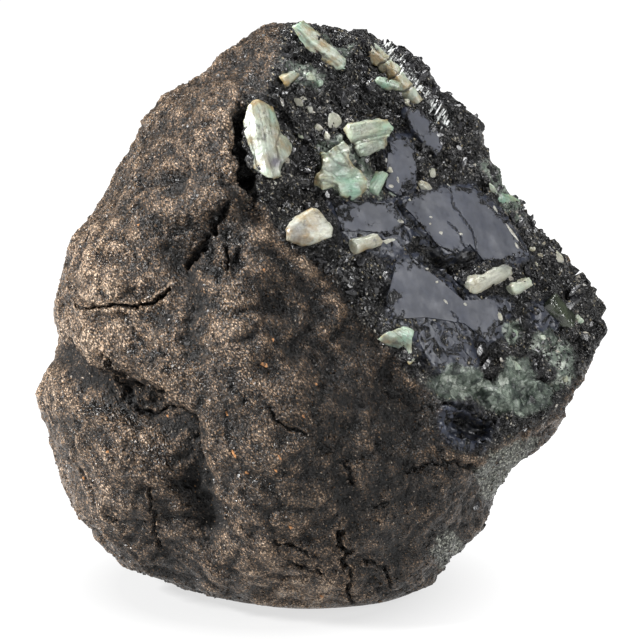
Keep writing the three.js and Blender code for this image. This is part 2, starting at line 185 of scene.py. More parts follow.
# Where the rind is browner (+) or blacker (-): place, reach and share. Some are its own colour; the
# blacker ones along the grooves are painted shade, and the browner ones on the cheeks and the under edge
# are partly painted light.
BROWN_SHADE_AND_LIGHT_PLACES = [
    (110, 255, 62, 0.75), (95, 335, 44, 1.1), (78, 490, 46, 0.9), (205, 80, 60, 0.3),
    (175, 150, 52, 0.4), (315, 600, 50, 0.5), (58, 400, 30, 0.6), (385, 430, 80, -0.5),
    (440, 520, 80, -0.2), (205, 240, 30, -0.5), (75, 374, 14, -0.8), (125, 400, 20, -0.9),
    (186, 442, 20, -0.9), (198, 494, 22, -0.8), (300, 598, 40, 0.9), (252, 586, 26, 0.6),
    (270, 225, 22, 0.6), (300, 262, 20, 0.5), (240, 300, 36, 0.25),
]
# How green and how stained each crystal is
TINTS = {
    "emerald_tall_prism": (0.36, 0.6),
    "emerald_twin_prism": (0.5, 0.35),
    "emerald_cluster": (0.6, 0.5),
    "emerald_side_stub": (0.95, 0.2),
    "emerald_crown_blade": (0.5, 0.5),
    "emerald_crown_stub": (0.45, 0.7),
    "emerald_ridge_chain": (0.45, 0.6),
    "emerald_ridge_stub": (1.0, 0.2),
    "emerald_wedge": (0.75, 0.4),
    "emerald_edge_chip": (1.2, 0.0),
    "emerald_dark_grain": (0.0, 0.0),
    "beryl_white_prism": (0.1, 0.25),
    "beryl_white_stub": (0.3, 0.2),
    "beryl_cream_crystal": (0.05, 0.9),
    "beryl_low_chip": (0.1, 0.6),
}
# Outlines of the crystals that show best
OUTLINES = {
    "emerald_tall_prism": [(253, 100), (246, 110), (244, 122), (247, 136), (252, 152), (254, 168),
        (263, 174), (273, 179), (281, 176), (280, 166), (279, 157), (285, 160), (290, 154),
        (292, 141), (287, 137), (279, 134), (279, 122), (273, 108), (263, 101)],
    "emerald_twin_prism": [(344, 129), (348, 124), (378, 119), (388, 120), (393, 128), (390, 134),
        (384, 138), (387, 144), (384, 149), (361, 157), (357, 154), (352, 145)],
    "emerald_cluster": [(320, 154), (325, 165), (315, 177), (315, 185), (323, 189), (335, 187),
        (341, 196), (352, 200), (361, 196), (361, 186), (368, 188), (367, 180), (361, 171),
        (352, 165), (348, 157), (350, 148), (344, 142), (336, 145), (329, 152)],
    "emerald_crown_blade": [(292, 27), (303, 21), (316, 32), (330, 45), (346, 59), (344, 69),
        (327, 72), (316, 65), (308, 51), (299, 38)],
    "emerald_crown_stub": [(279, 77), (282, 71), (292, 68), (302, 71), (303, 79), (296, 86),
        (286, 86)],
    "emerald_ridge_chain": [(366, 47), (378, 42), (388, 51), (392, 62), (399, 67), (409, 75),
        (414, 84), (421, 89), (423, 100), (414, 107), (402, 106), (399, 97), (400, 91), (391, 84),
        (384, 77), (377, 68), (368, 58)],
    "emerald_ridge_stub": [(374, 80), (381, 76), (393, 77), (400, 84), (399, 90), (387, 91),
        (377, 87)],
    "emerald_wedge": [(378, 339), (390, 331), (404, 326), (414, 331), (411, 344), (416, 359),
        (409, 364), (401, 352), (390, 347)],
    "beryl_cream_crystal": [(287, 229), (294, 218), (312, 207), (325, 213), (334, 225), (332, 236),
        (318, 243), (300, 246), (288, 240)],
    "beryl_white_prism": [(464, 285), (469, 274), (482, 275), (492, 269), (506, 264), (511, 267),
        (511, 277), (505, 285), (495, 292), (479, 294), (469, 292)],
    "beryl_white_stub": [(506, 288), (515, 279), (529, 277), (533, 285), (525, 294), (511, 295)],
}
# Crystals whose hollows are filled
ROUNDED = ("beryl_cream_crystal", "beryl_white_stub")
# Rounds of smoothing of the crystals that differ from the others in how round their edges are
ROUNDS = {
    "emerald_tall_prism": 150, "beryl_white_prism": 60, "beryl_cream_crystal": 50,
    "emerald_cluster": 8,
}
# Places on the crystals that differ: place, reach, and change of green, stain and grey, where the grey
# is partly the crystal's own and partly painted shade
CRYSTAL_SPOTS = [
    (262, 142, 10, -0.2, -0.5, 0.0), (264, 132, 30, 0.0, 0.1, 0.14), (260, 160, 14, 0.15, 0.3, 0.3),
    (396, 345, 6, 0.0, 0.2, 0.5), (384, 340, 5, 0.0, 0.6, 0.3), (251, 108, 8, 0.0, 0.9, 0.0),
    (272, 114, 9, 0.5, 0.0, 0.0), (276, 162, 7, 0.0, -0.3, 0.9), (286, 146, 7, 0.3, 0.3, 0.2),
    (349, 150, 8, -0.4, -0.4, 0.0), (386, 126, 10, 0.5, 0.0, 0.0), (352, 188, 12, 0.6, -0.5, 0.0),
    (326, 150, 10, 0.2, 0.6, 0.0), (338, 166, 8, 0.4, 0.0, 0.3), (304, 30, 9, 0.5, 0.0, 0.0),
    (332, 54, 8, -0.3, 0.5, 0.0), (470, 284, 9, -0.1, 0.4, 0.0), (506, 264, 7, 0.1, 0.0, 0.7),
    (488, 276, 8, -0.2, -0.4, 0.0), (297, 232, 13, 0.0, 1.6, 0.55), (322, 218, 9, -0.1, -0.6, 0.0),
    (402, 336, 9, 0.4, 0.0, 0.0), (390, 352, 7, 0.0, 0.5, 0.2),
]
# Grooves between and across the prisms, with painted shade in them: strength and route
PRISM_GROOVES = [
    (0.6, [(280, 133), (277, 146), (279, 158)]),
    (0.6, [(352, 146), (366, 141), (384, 138)]),
    (0.6, [(326, 152), (338, 163), (352, 168)]),
    (0.5, [(324, 168), (336, 174), (346, 177)]),
    (0.6, [(316, 179), (330, 181), (342, 194)]),
    (0.6, [(337, 146), (344, 156), (350, 165)]),
    (0.5, [(298, 30), (316, 50), (338, 66)]),
    (1.2, [(376, 67), (392, 57)]),
    (1.2, [(387, 81), (402, 70)]),
    (1.2, [(397, 94), (416, 85)]),
]
# Cracks of the quartz plates
QUARTZ_CRACKS = [
    [(452, 197), (455, 209), (463, 218), (472, 231), (476, 241), (476, 255)],
    [(449, 222), (458, 232), (466, 246)],
    [(452, 312), (459, 322), (458, 334)],
    [(430, 330), (442, 342), (452, 346)],
]
# Where black mica shows through the quartz plates: place, reach and share
DARK_SPOTS = [
    (392, 296, 12, 0.8), (396, 322, 14, 0.8), (408, 262, 9, 0.6), (344, 212, 14, 0.7),
    (352, 240, 14, 0.8), (392, 206, 10, 0.8), (404, 232, 10, 0.8), (432, 252, 12, 0.7),
    (478, 340, 18, 0.6), (462, 362, 14, 0.7), (388, 150, 10, 0.6), (408, 186, 10, 0.7),
    (404, 142, 8, 0.5), (508, 262, 9, 0.6), (430, 130, 9, 0.4), (494, 330, 12, 0.6),
    (372, 222, 10, 0.5),
]
# Small chips: place, length and width in pixels, and turn in degrees
GREEN_CHIPS = [
    (320, 83, 12, 10, 40), (311, 78, 13, 12, 0), (301, 136, 8, 6, 60), (579, 320, 15, 12, 45),
    (513, 333, 20, 15, 30), (543, 337, 9, 7, 20), (494, 190, 18, 8, 55), (392, 194, 9, 6, 20),
    (516, 366, 16, 9, 30), (564, 378, 14, 8, 60), (340, 142, 10, 7, 10),
]
PALE_CHIPS = [
    (318, 128, 16, 13, 20), (334, 122, 20, 18, 30), (327, 136, 12, 9, 60), (432, 172, 12, 12, 0),
    (407, 102, 9, 8, 0), (414, 98, 8, 7, 0), (388, 241, 17, 6, -15), (431, 217, 4, 3, 0),
    (430, 224, 3, 3, 0), (441, 233, 5, 4, 0), (460, 234, 6, 4, 0), (400, 221, 9, 4, 10),
    (410, 200, 4, 3, 0), (449, 186, 11, 3, 45), (495, 209, 9, 4, 60), (512, 232, 26, 4, 55),
    (517, 246, 8, 3, 60), (446, 302, 8, 3, 35), (465, 304, 7, 3, 40), (427, 269, 4, 3, 0),
    (437, 282, 4, 3, 0), (434, 320, 4, 3, 0), (500, 316, 10, 6, 70), (557, 256, 14, 22, 160),
    (583, 285, 9, 5, 20), (275, 183, 7, 3, 30), (299, 103, 16, 8, 50), (308, 108, 18, 7, 40),
    (303, 98, 12, 6, 20), (390, 170, 9, 6, 10), (398, 180, 7, 5, 70), (386, 160, 6, 4, 30),
]
TAN_CHIPS = [
    (427, 188, 22, 11, 30), (326, 139, 7, 5, 0), (372, 115, 9, 5, -20), (540, 256, 9, 8, 0),
    (532, 249, 8, 7, 30), (536, 264, 6, 6, 0), (391, 186, 6, 4, 0), (544, 244, 6, 5, 0),
]
BLACK_CHIPS = [
    (576, 300, 30, 11, -35), (567, 308, 28, 9, -40), (574, 290, 22, 9, -35), (398, 62, 16, 8, -40),
    (412, 66, 14, 7, -40), (424, 76, 18, 9, -45), (436, 90, 16, 8, -50), (406, 54, 15, 7, -35),
    (440, 104, 14, 7, -50), (520, 222, 16, 8, -50), (527, 232, 14, 7, -45), (480, 350, 16, 8, -60),
    (486, 364, 18, 8, -50), (476, 506, 16, 8, -60),
]
ORANGE_CHIPS = [
    (264, 270, 5, 4, 0), (273, 340, 4, 4, 0), (139, 225, 5, 4, 20), (228, 415, 5, 3, 0),
    (266, 365, 6, 5, 30), (168, 416, 4, 3, 0), (291, 527, 6, 5, 0), (262, 364, 4, 4, 0),
    (304, 416, 5, 4, 40), (280, 458, 7, 3, 60), (226, 412, 5, 3, 60), (247, 473, 5, 4, 0),
    (234, 454, 10, 3, 60), (276, 470, 6, 3, 50), (316, 384, 4, 3, 0), (108, 452, 4, 3, 0),
    (84, 478, 5, 4, 0), (322, 596, 6, 4, 0),
]
# How many small things there are of each kind
FIBRES = 46
BOOKS = 150
FLAKES = 5200
GRAINS = 15000
GREY_OUTLINES = [outline for _, outline in GREY_PATCHES]
# Where no mica flakes or books lie: the quartz, the large green patch and the hollow by the tall prism
NO_MICA = GREY_OUTLINES + GREEN_PATCHES[:1] + [POCKETS[0][1]]


# Places and patterns
LUMP_FALL = 0.7  # how fast finer lumps lose height
LUMP_STEP = 2.0  # how much finer each octave is than the last
CELL_SPREAD = 37.7  # sets the lean of one chip apart from the next
HALF = (0.5, 0.5, 0.5)


def pixels_of(points):
    """Where the camera sees points, in the photograph's pixels."""
    rays = points - EYE
    zoom = VIEW_DISTANCE / (rays @ SIGHT) / PIXEL
    across = PHOTO_SIDE / 2 + (rays @ RIGHT) * zoom
    down = PHOTO_SIDE / 2 - (rays @ UP) * zoom
    return np.stack((across, down), 1)


def line_of_sight(pixel):
    across, down = (np.array(pixel, float) - PHOTO_SIDE / 2) * PIXEL
    return Vector(VIEW_DISTANCE * SIGHT + across * RIGHT - down * UP).normalized()


def nearest_on_route(pixels, route):
    """The place nearest to each pixel on a line of several legs."""
    best = np.full(len(pixels), np.inf)
    nearest = np.zeros((len(pixels), 2))
    for start, end in zip(np.array(route[:-1], float), np.array(route[1:], float)):
        leg = end - start
        along = np.clip((pixels - start) @ leg / (leg @ leg), 0, 1)
        foot = start + along[:, None] * leg
        gap = np.hypot(*(pixels - foot).T)
        nearest[gap < best] = foot[gap < best]
        best = np.minimum(best, gap)
    return nearest


def route_distance(pixels, route):
    return np.hypot(*(pixels - nearest_on_route(pixels, route)).T)


def depth_inside(pixels, outline):
    """Distance of each pixel from a closed outline, below 0 outside it."""
    corners = np.array(outline, float)
    inside = np.zeros(len(pixels), bool)
    for (x0, y0), (x1, y1) in zip(corners, np.roll(corners, -1, 0)):
        spans = (y0 > pixels[:, 1]) != (y1 > pixels[:, 1])
        crossing = x0 + (pixels[:, 1] - y0) * (x1 - x0) / ((y1 - y0) or 1e-9)
        inside ^= spans & (pixels[:, 0] < crossing)
    distance = route_distance(pixels, outline + outline[:1])
    return np.where(inside, distance, -distance)


def depth_in_any(pixels, outlines):
    return np.max([depth_inside(pixels, outline) for outline in outlines], 0)


def spot_share(pixels, across, down, reach):
    """1 at a place, falling off round it over about `reach` pixels."""
    return np.exp(-(((pixels - (across, down)) / reach) ** 2).sum(1))


def face_heights(points):
    """Height of each point over the broken face."""
    return (points - np.array(FACE_POINT)) @ np.array(FACE_NORMAL)


def lumps(points, length, octaves=1, offset=0.0):
    """Noise of about -1 to 1 at each point, its lumps `length` apart."""
    return np.array([
        noise.fractal(Vector(place), LUMP_FALL, LUMP_STEP, octaves)
        for place in points / length + offset
    ])


def wander(points, length, octaves, *offsets):
    """A shift at each point of about -1 to 1 in each direction, with one offset for each."""
    return np.stack([lumps(points, length, octaves, offset) for offset in offsets], 1)


def facets(points, length, tilt):
    """Height of a surface broken into flat chips `length` wide, each tilted its own way."""
    middle = Vector(HALF)
    heights = np.empty(len(points))
    for i, place in enumerate(points / length):
        centre = noise.voronoi(Vector(place))[1][0]
        lean = noise.cell_vector(centre * CELL_SPREAD) - middle
        heights[i] = lean.dot(Vector(place) - centre)
    return heights * length * tilt


# Meshes
MERGE_DISTANCE = 0.001


class Skin:
    """A mesh as arrays: its corners in millimetres, and the edges between them."""

    def __init__(self, mesh):
        self.mesh = mesh
        self.read()

    def read(self):
        places = np.empty(len(self.mesh.vertices) * 3, np.float32)
        self.mesh.vertices.foreach_get("co", places)
        self.points = places.reshape(-1, 3).astype(float) / MM
        ends = np.empty(len(self.mesh.edges) * 2, np.int32)
        self.mesh.edges.foreach_get("vertices", ends)
        self.edges = ends.reshape(-1, 2)

    def write(self):
        self.mesh.vertices.foreach_set("co", (self.points * MM).astype(np.float32).ravel())
        self.mesh.update()

    def normals(self):
        self.write()
        ways = np.empty(len(self.points) * 3, np.float32)
        self.mesh.vertex_normals.foreach_get("vector", ways)
        return ways.reshape(-1, 3).astype(float)

    def facing(self):
        """How squarely each corner faces the camera, below 0 where it is turned away."""
        return -(self.normals() @ SIGHT)

    def face_table(self):
        """Middle, way and area of each face."""
        faces = self.mesh.polygons
        middles, ways, areas = (np.empty(len(faces) * width, np.float32) for width in (3, 3, 1))
        faces.foreach_get("center", middles)
        faces.foreach_get("normal", ways)
        faces.foreach_get("area", areas)
        return middles.reshape(-1, 3).astype(float) / MM, ways.reshape(-1, 3).astype(float), areas

    def neighbour_mean(self, values):
        first, second = self.edges.T
        count = len(values)
        degree = np.bincount(first, minlength=count) + np.bincount(second, minlength=count)
        columns = [
            np.bincount(first, column[second], count) + np.bincount(second, column[first], count)
            for column in values.T
        ]
        return np.stack(columns, 1) / np.maximum(degree, 1)[:, None]

    def smooth(self, rounds, weight):
        for _ in range(rounds):
            self.points += weight * (self.neighbour_mean(self.points) - self.points)

    def push(self, heights):
        """Moves each corner outwards by its height."""
        self.points += heights[:, None] * self.normals()

    def split(self, wanted):
        """Splits in four each face whose corners are all wanted."""
        self.write()
        work = bmesh.new()
        work.from_mesh(self.mesh)
        chosen = set()
        for face in work.faces:
            if all(wanted[corner.index] for corner in face.verts):
                chosen.update(face.edges)
        edges = [edge for edge in work.edges if edge in chosen]
        bmesh.ops.subdivide_edges(work, edges=edges, cuts=1, use_grid_fill=True)
        work.to_mesh(self.mesh)
        work.free()
        self.read()

    def mark(self, name, values):
        """Keeps a number for each corner that the finish can read."""
        layer = self.mesh.attributes.new(name, "FLOAT", "POINT")
        spread = np.broadcast_to(values, len(self.points))
        layer.data.foreach_set("value", spread.astype(np.float32))

    def mark_places(self, name, places):
        layer = self.mesh.attributes.new(name, "FLOAT_VECTOR", "POINT")
        layer.data.foreach_set("vector", (places * MM).astype(np.float32).ravel())

    def long_axis(self):
        spread = self.points - self.points.mean(0)
        return np.linalg.svd(spread, full_matrices=False)[2][0]


def mesh_of(work, name):
    """A new mesh with the shape of a bmesh, which is freed."""
    mesh = bpy.data.meshes.new(name)
    work.to_mesh(mesh)
    work.free()
    return mesh


def add_object(name, data):
    made = bpy.data.objects.new(name, data)
    bpy.context.scene.collection.objects.link(made)
    return made


def node_shell(name, grow=0.0):
    """A solid's own mesh with its corners merged, each side moved out by `grow`."""
    shell = bmesh.new()
    shell.from_mesh(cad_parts[name].data)
    bmesh.ops.remove_doubles(shell, verts=shell.verts, dist=MERGE_DISTANCE * MM)
    shell.normal_update()
    for corner, way in [(v, v.normal.copy()) for v in shell.verts]:
        corner.co += way * grow * MM
    return shell


def join(shell, part):
    """Adds a part to a shell, and frees the part."""
    mesh = mesh_of(part, "part")
    shell.from_mesh(mesh)
    bpy.data.meshes.remove(mesh)


def cut(work, place, way):
    """Takes off what lies past a plane, and closes the cut."""
    everything = work.verts[:] + work.edges[:] + work.faces[:]
    bmesh.ops.bisect_plane(work, geom=everything, plane_co=place, plane_no=way, clear_outer=True)
    bmesh.ops.holes_fill(work, edges=[edge for edge in work.edges if edge.is_boundary])


def even_skin(shell, voxel, crisp=False):
    """The outer surface of a shell as an even mesh of quads, with crisp edges if asked."""
    mesh = mesh_of(shell, "shell")
    carrier = add_object("shell", mesh)
    remesh = carrier.modifiers.new("even quads", "REMESH")
    if crisp:
        remesh.mode = "SHARP"
        remesh.octree_depth = math.ceil(math.log2(max(carrier.dimensions) / MM / voxel))
        remesh.use_remove_disconnected = False
    else:
        remesh.mode = "VOXEL"
        remesh.voxel_size = voxel * MM
    graph = bpy.context.evaluated_depsgraph_get()
    skin = bpy.data.meshes.new_from_object(carrier.evaluated_get(graph))
    bpy.data.objects.remove(carrier)
    bpy.data.meshes.remove(mesh)
    return Skin(skin)


def piece(name, skin, finish, node=None, smooth=True):
    """A finished piece of the object, which rides on its one body."""
    skin.write()
    skin.mesh.materials.clear()
    skin.mesh.materials.append(finish)
    skin.mesh.polygons.foreach_set("use_smooth", np.full(len(skin.mesh.polygons), smooth))
    skin.mesh.name = name
    made = add_object(name, skin.mesh)
    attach(made, "root")
    if node:
        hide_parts(node)
    return made


class Finish:
    """A material, with short calls that add its nodes. Texture sizes are in millimetres."""

    def __init__(self, name):
        self.material = bpy.data.materials.new(name)
        self.material.use_nodes = True
        self.tree = self.material.node_tree
        self.shader = self.tree.nodes["Principled BSDF"]
        self.place = self.node("ShaderNodeTexCoord").outputs["Object"]

    def feed(self, socket, value):
        if isinstance(value, bpy.types.NodeSocket):
            self.tree.links.new(value, socket)
        else:
            socket.default_value = value

    def node(self, kind, inputs=None, **settings):
        made = self.tree.nodes.new(kind)
        for setting, value in settings.items():
            setattr(made, setting, value)
        for socket, value in (inputs or {}).items():
            self.feed(made.inputs[socket], value)
        return made

    def set(self, **sockets):
        for socket, value in sockets.items():
            self.feed(self.shader.inputs[socket.replace("_", " ")], value)

    def along_layers(self, stretch):
        """Places drawn together along the rock's layers, so that patterns on them are drawn out."""
        turn = LAYER.to_track_quat("X", "Z").to_euler()
        inputs = {"Vector": self.place, "Rotation": turn, "Scale": (stretch, 1.0, 1.0)}
        return self.node("ShaderNodeMapping", inputs, vector_type="TEXTURE").outputs["Vector"]

    def noise(self, length, detail=2.0, roughness=0.55, distortion=0.0, place=None):
        """Noise spread over about 0 to 1."""
        inputs = {
            "Vector": place or self.place,
            "Scale": 1 / (length * MM),
            "Detail": detail,
            "Roughness": roughness,
            "Distortion": distortion,
        }
        return self.between(self.node("ShaderNodeTexNoise", inputs).outputs["Fac"], 0.3, 0.7)

    def cells(self, length, place=None, **settings):
        inputs = {"Vector": place or self.place, "Scale": 1 / (length * MM)}
        return self.node("ShaderNodeTexVoronoi", inputs, **settings)

    def vectors(self, operation, first, second):
        inputs = {0: first, 1: second}
        return self.node("ShaderNodeVectorMath", inputs, operation=operation).outputs[0]

    def scaled(self, vector, scale):
        inputs = {0: vector, "Scale": scale}
        return self.node("ShaderNodeVectorMath", inputs, operation="SCALE").outputs[0]

    def waves(self, length, reach):
        """A wandering shift of up to about `reach`."""
        inputs = {"Vector": self.place, "Scale": 1 / (length * MM)}
        colour = self.node("ShaderNodeTexNoise", inputs).outputs["Color"]
        return self.scaled(self.vectors("SUBTRACT", colour, HALF), 2 * reach * MM)

    def shares(self, colour):
        return self.node("ShaderNodeSeparateColor", {0: colour}).outputs

    def math(self, operation, first, second=0.0, clamp=False):
        inputs = {0: first, 1: second}
        return self.node("ShaderNodeMath", inputs, operation=operation, use_clamp=clamp).outputs[0]

    def total(self, start, *shares):
        """start plus each (value, share) multiplied."""
        for value, share in shares:
            inputs = {0: value, 1: share, 2: start}
            start = self.node("ShaderNodeMath", inputs, operation="MULTIPLY_ADD").outputs[0]
        return start

    def swing(self, value):
        """A value of 0 to 1 moved down to swing about 0."""
        return self.total(-0.5, (value, 1.0))

    def ragged(self, name, value, reach):
        """A mark whose edge wanders by half of `reach` either way."""
        return self.total(self.mark(name), (self.swing(value), reach))

    def between(self, value, low, high, to_low=0.0, to_high=1.0):
        """A value's part of the way from low to high, spread from to_low to to_high."""
        inputs = {
            "Value": value,
            "From Min": low,
            "From Max": high,
            "To Min": to_low,
            "To Max": to_high,
        }
        return self.node("ShaderNodeMapRange", inputs).outputs[0]

    def spread(self, value, low, high):
        """A value of 0 to 1 spread from low to high."""
        return self.between(value, 0.0, 1.0, low, high)

    def ramp(self, value, stops):
        made = self.node("ShaderNodeValToRGB", {"Fac": value})
        band = made.color_ramp
        while len(band.elements) < len(stops):
            band.elements.new(1.0)
        for element, (position, colour) in zip(band.elements, stops):
            element.position = position
            element.color = (*colour, 1.0)
        return made.outputs["Color"]

    def mix(self, share, first, second, blend="MIX"):
        made = self.node("ShaderNodeMix", data_type="RGBA", blend_type=blend)
        for socket, value in zip((0, 6, 7), (share, first, second)):
            self.feed(made.inputs[socket], (*value, 1.0) if isinstance(value, tuple) else value)
        return made.outputs[2]

    def blend(self, share, first, second):
        return self.node("ShaderNodeMix", {0: share, 2: first, 3: second}).outputs[0]

    def mark(self, name):
        return self.node("ShaderNodeAttribute", attribute_name=name).outputs["Fac"]

    def surface_normal(self):
        return self.node("ShaderNodeNewGeometry").outputs["Normal"]

    def flake_normal(self, cells, tilt):
        """Normals that turn from one flake to the next."""
        turn = self.vectors("SUBTRACT", cells.outputs["Color"], HALF)
        leaning = self.vectors("ADD", self.scaled(turn, tilt), self.surface_normal())
        inputs = {0: leaning}
        return self.node("ShaderNodeVectorMath", inputs, operation="NORMALIZE").outputs[0]

    def bump(self, height, depth, strength=1.0, normal=None):
        inputs = {"Height": height, "Distance": depth * MM, "Strength": strength}
        if normal:
            inputs["Normal"] = normal
        return self.node("ShaderNodeBump", inputs).outputs["Normal"]


# Finishes: rows of tones, each with its place from 0 to 1, and single colours
RIND_TONES = [
    (0.0, (0.002, 0.002, 0.002)), (0.2, (0.006, 0.0052, 0.0047)), (0.4, (0.026, 0.0205, 0.0168)),
    (0.6, (0.095, 0.065, 0.043)), (0.8, (0.27, 0.18, 0.115)), (1.0, (0.56, 0.42, 0.3)),
]
MICA_TONES = [
    (0.0, (0.002, 0.002, 0.0022)), (0.4, (0.006, 0.006, 0.0065)), (0.6, (0.028, 0.028, 0.03)),
    (0.8, (0.1, 0.098, 0.095)), (1.0, (0.4, 0.37, 0.31)),
]
QUARTZ_TONES = [
    (0.0, (0.016, 0.0195, 0.03)), (0.5, (0.028, 0.0325, 0.048)), (1.0, (0.042, 0.048, 0.07)),
]
GREEN_TONES = [
    (0.2, (0.004, 0.005, 0.0045)), (0.36, (0.026, 0.035, 0.03)), (0.52, (0.075, 0.094, 0.076)),
    (0.68, (0.15, 0.18, 0.148)), (0.88, (0.38, 0.41, 0.36)),
]
PALE_TONES = [(0.15, (0.012, 0.012, 0.011)), (0.45, (0.17, 0.18, 0.15)), (0.9, (0.6, 0.6, 0.52))]
OLIVE_TONES = [(0.2, (0.02, 0.024, 0.018)), (0.8, (0.07, 0.085, 0.055))]
BLACK_TONES = [(0.2, (0.004, 0.004, 0.005)), (0.9, (0.03, 0.03, 0.034))]
FIBRE_TONES = [(0.2, (0.3, 0.31, 0.3)), (0.7, (0.8, 0.82, 0.8))]
RUST_TONES = [(0.2, (0.2, 0.09, 0.035)), (0.8, (0.52, 0.25, 0.1))]
# Black for the painted shade between grains and in cracks and hollows
SHADE_BLACK = (0.002, 0.002, 0.002)
ORANGE_GRAIN = (0.3, 0.17, 0.08)
WHITE_GRAIN = (0.45, 0.41, 0.35)
TAN_GRAIN = (0.42, 0.36, 0.24)
GREEN_SPLIT = (0.006, 0.007, 0.007)
SILKY_WHITE = (0.55, 0.57, 0.56)
BERYL_PALE = (0.42, 0.425, 0.36)
BERYL_GREEN = (0.21, 0.35, 0.26)
BERYL_STAIN = (0.26, 0.19, 0.09)
BERYL_GREY_AND_SHADE = (0.085, 0.08, 0.098)
BERYL_FLAW = (0.05, 0.052, 0.045)
BERYL_GROOVE_SHADE = (0.035, 0.03, 0.02)
BERYL_VEIN = (0.06, 0.045, 0.025)
QUARTZ_CRACK = (0.003, 0.003, 0.004)
QUARTZ_MICA = (0.006, 0.006, 0.007)
SCHIST_IOR = 1.38
BERYL_IOR = 1.58
QUARTZ_IOR = 1.5
BLACK_MICA_IOR = 1.6
MICA_FLAKE_IOR = 1.65
RIND_GRAIN_IOR = 1.42
RUST_IOR = 1.4
BERYL_SCATTER = (0.9, 1.0, 0.8)  # how far each colour spreads in beryl, times the depth below
BERYL_SCATTER_DEPTH = 1.3


def rind_colour(f, shares, layers):
    """Sooty brown grains, each with a tone of its own, and a few white and orange ones; painted shade
    darkens the hollows and grooves, and painted light brightens the lumps and some lit places.
    """
    tone = f.total(
        -0.11,
        (shares[0], 0.47),
        (f.noise(0.25, 2, 0.6, place=layers), 0.24),
        (f.noise(1.5, 4, 0.65, place=f.along_layers(3.0)), 0.16),
        (f.noise(13, 2), 0.14),
        (f.mark("relief_shade"), 0.3),
        (f.mark("brown_shade_and_light"), 0.27),
    )
    colour = f.ramp(tone, RIND_TONES)
    colour = f.mix(f.between(shares[1], 0.975, 0.98, 0.0, 0.6), colour, ORANGE_GRAIN)
    colour = f.mix(f.between(shares[1], 0.992, 0.994, 0.0, 0.7), colour, WHITE_GRAIN)
    is_pale = f.between(f.ragged("pale", f.noise(2.0, 4, 0.65), 6.0), -2.5, 1.5)
    return f.mix(is_pale, colour, f.ramp(f.noise(0.9, 3, 0.7), PALE_TONES))


def green_colour(f):
    """Mottled green beryl: small crystals of several tones with dark splits between them."""
    bent = f.vectors("ADD", f.place, f.waves(1.2, 0.7))
    crystals = f.shares(f.cells(2.0, bent).outputs["Color"])
    tone = f.total(
        -0.02,
        (f.noise(4.2, 4, 0.6), 0.5),
        (f.noise(0.7, 4, 0.7), 0.3),
        (crystals[0], 0.36),
    )
    splits = f.cells(2.0, bent, feature="DISTANCE_TO_EDGE").outputs["Distance"]
    return f.mix(f.between(splits, 0.06, 0.0, 0.0, 0.7), f.ramp(tone, GREEN_TONES), GREEN_SPLIT)


def broken_colour(f, shares, is_grey):
    """Black mica with paler grains, smooth grey quartz, mottled green beryl and bright fibres."""
    tone = f.total(
        -0.07,
        (shares[0], 0.62),
        (f.noise(0.35, 2, 0.6), 0.25),
        (f.noise(4.5, 3), 0.4),
    )
    colour = f.ramp(f.total(-0.05, (tone, 1.0)), MICA_TONES)
    colour = f.mix(f.between(shares[1], 0.965, 0.97, 0.0, 0.8), colour, TAN_GRAIN)
    grey = f.ramp(f.total(-0.2, (f.noise(1.4, 4, 0.6), 1.0)), QUARTZ_TONES)
    colour = f.mix(is_grey, colour, grey)
    is_green = f.between(f.ragged("green", f.noise(3.2, 5, 0.7), 11.0), -2.0, 2.5)
    colour = f.mix(is_green, colour, green_colour(f))
    fibres = f.noise(0.5, 3, 0.6, place=f.along_layers(9.0))
    fibre_share = f.math("MULTIPLY", f.mark("fibre"), f.between(fibres, 0.42, 0.6))
    return f.mix(fibre_share, colour, SILKY_WHITE)


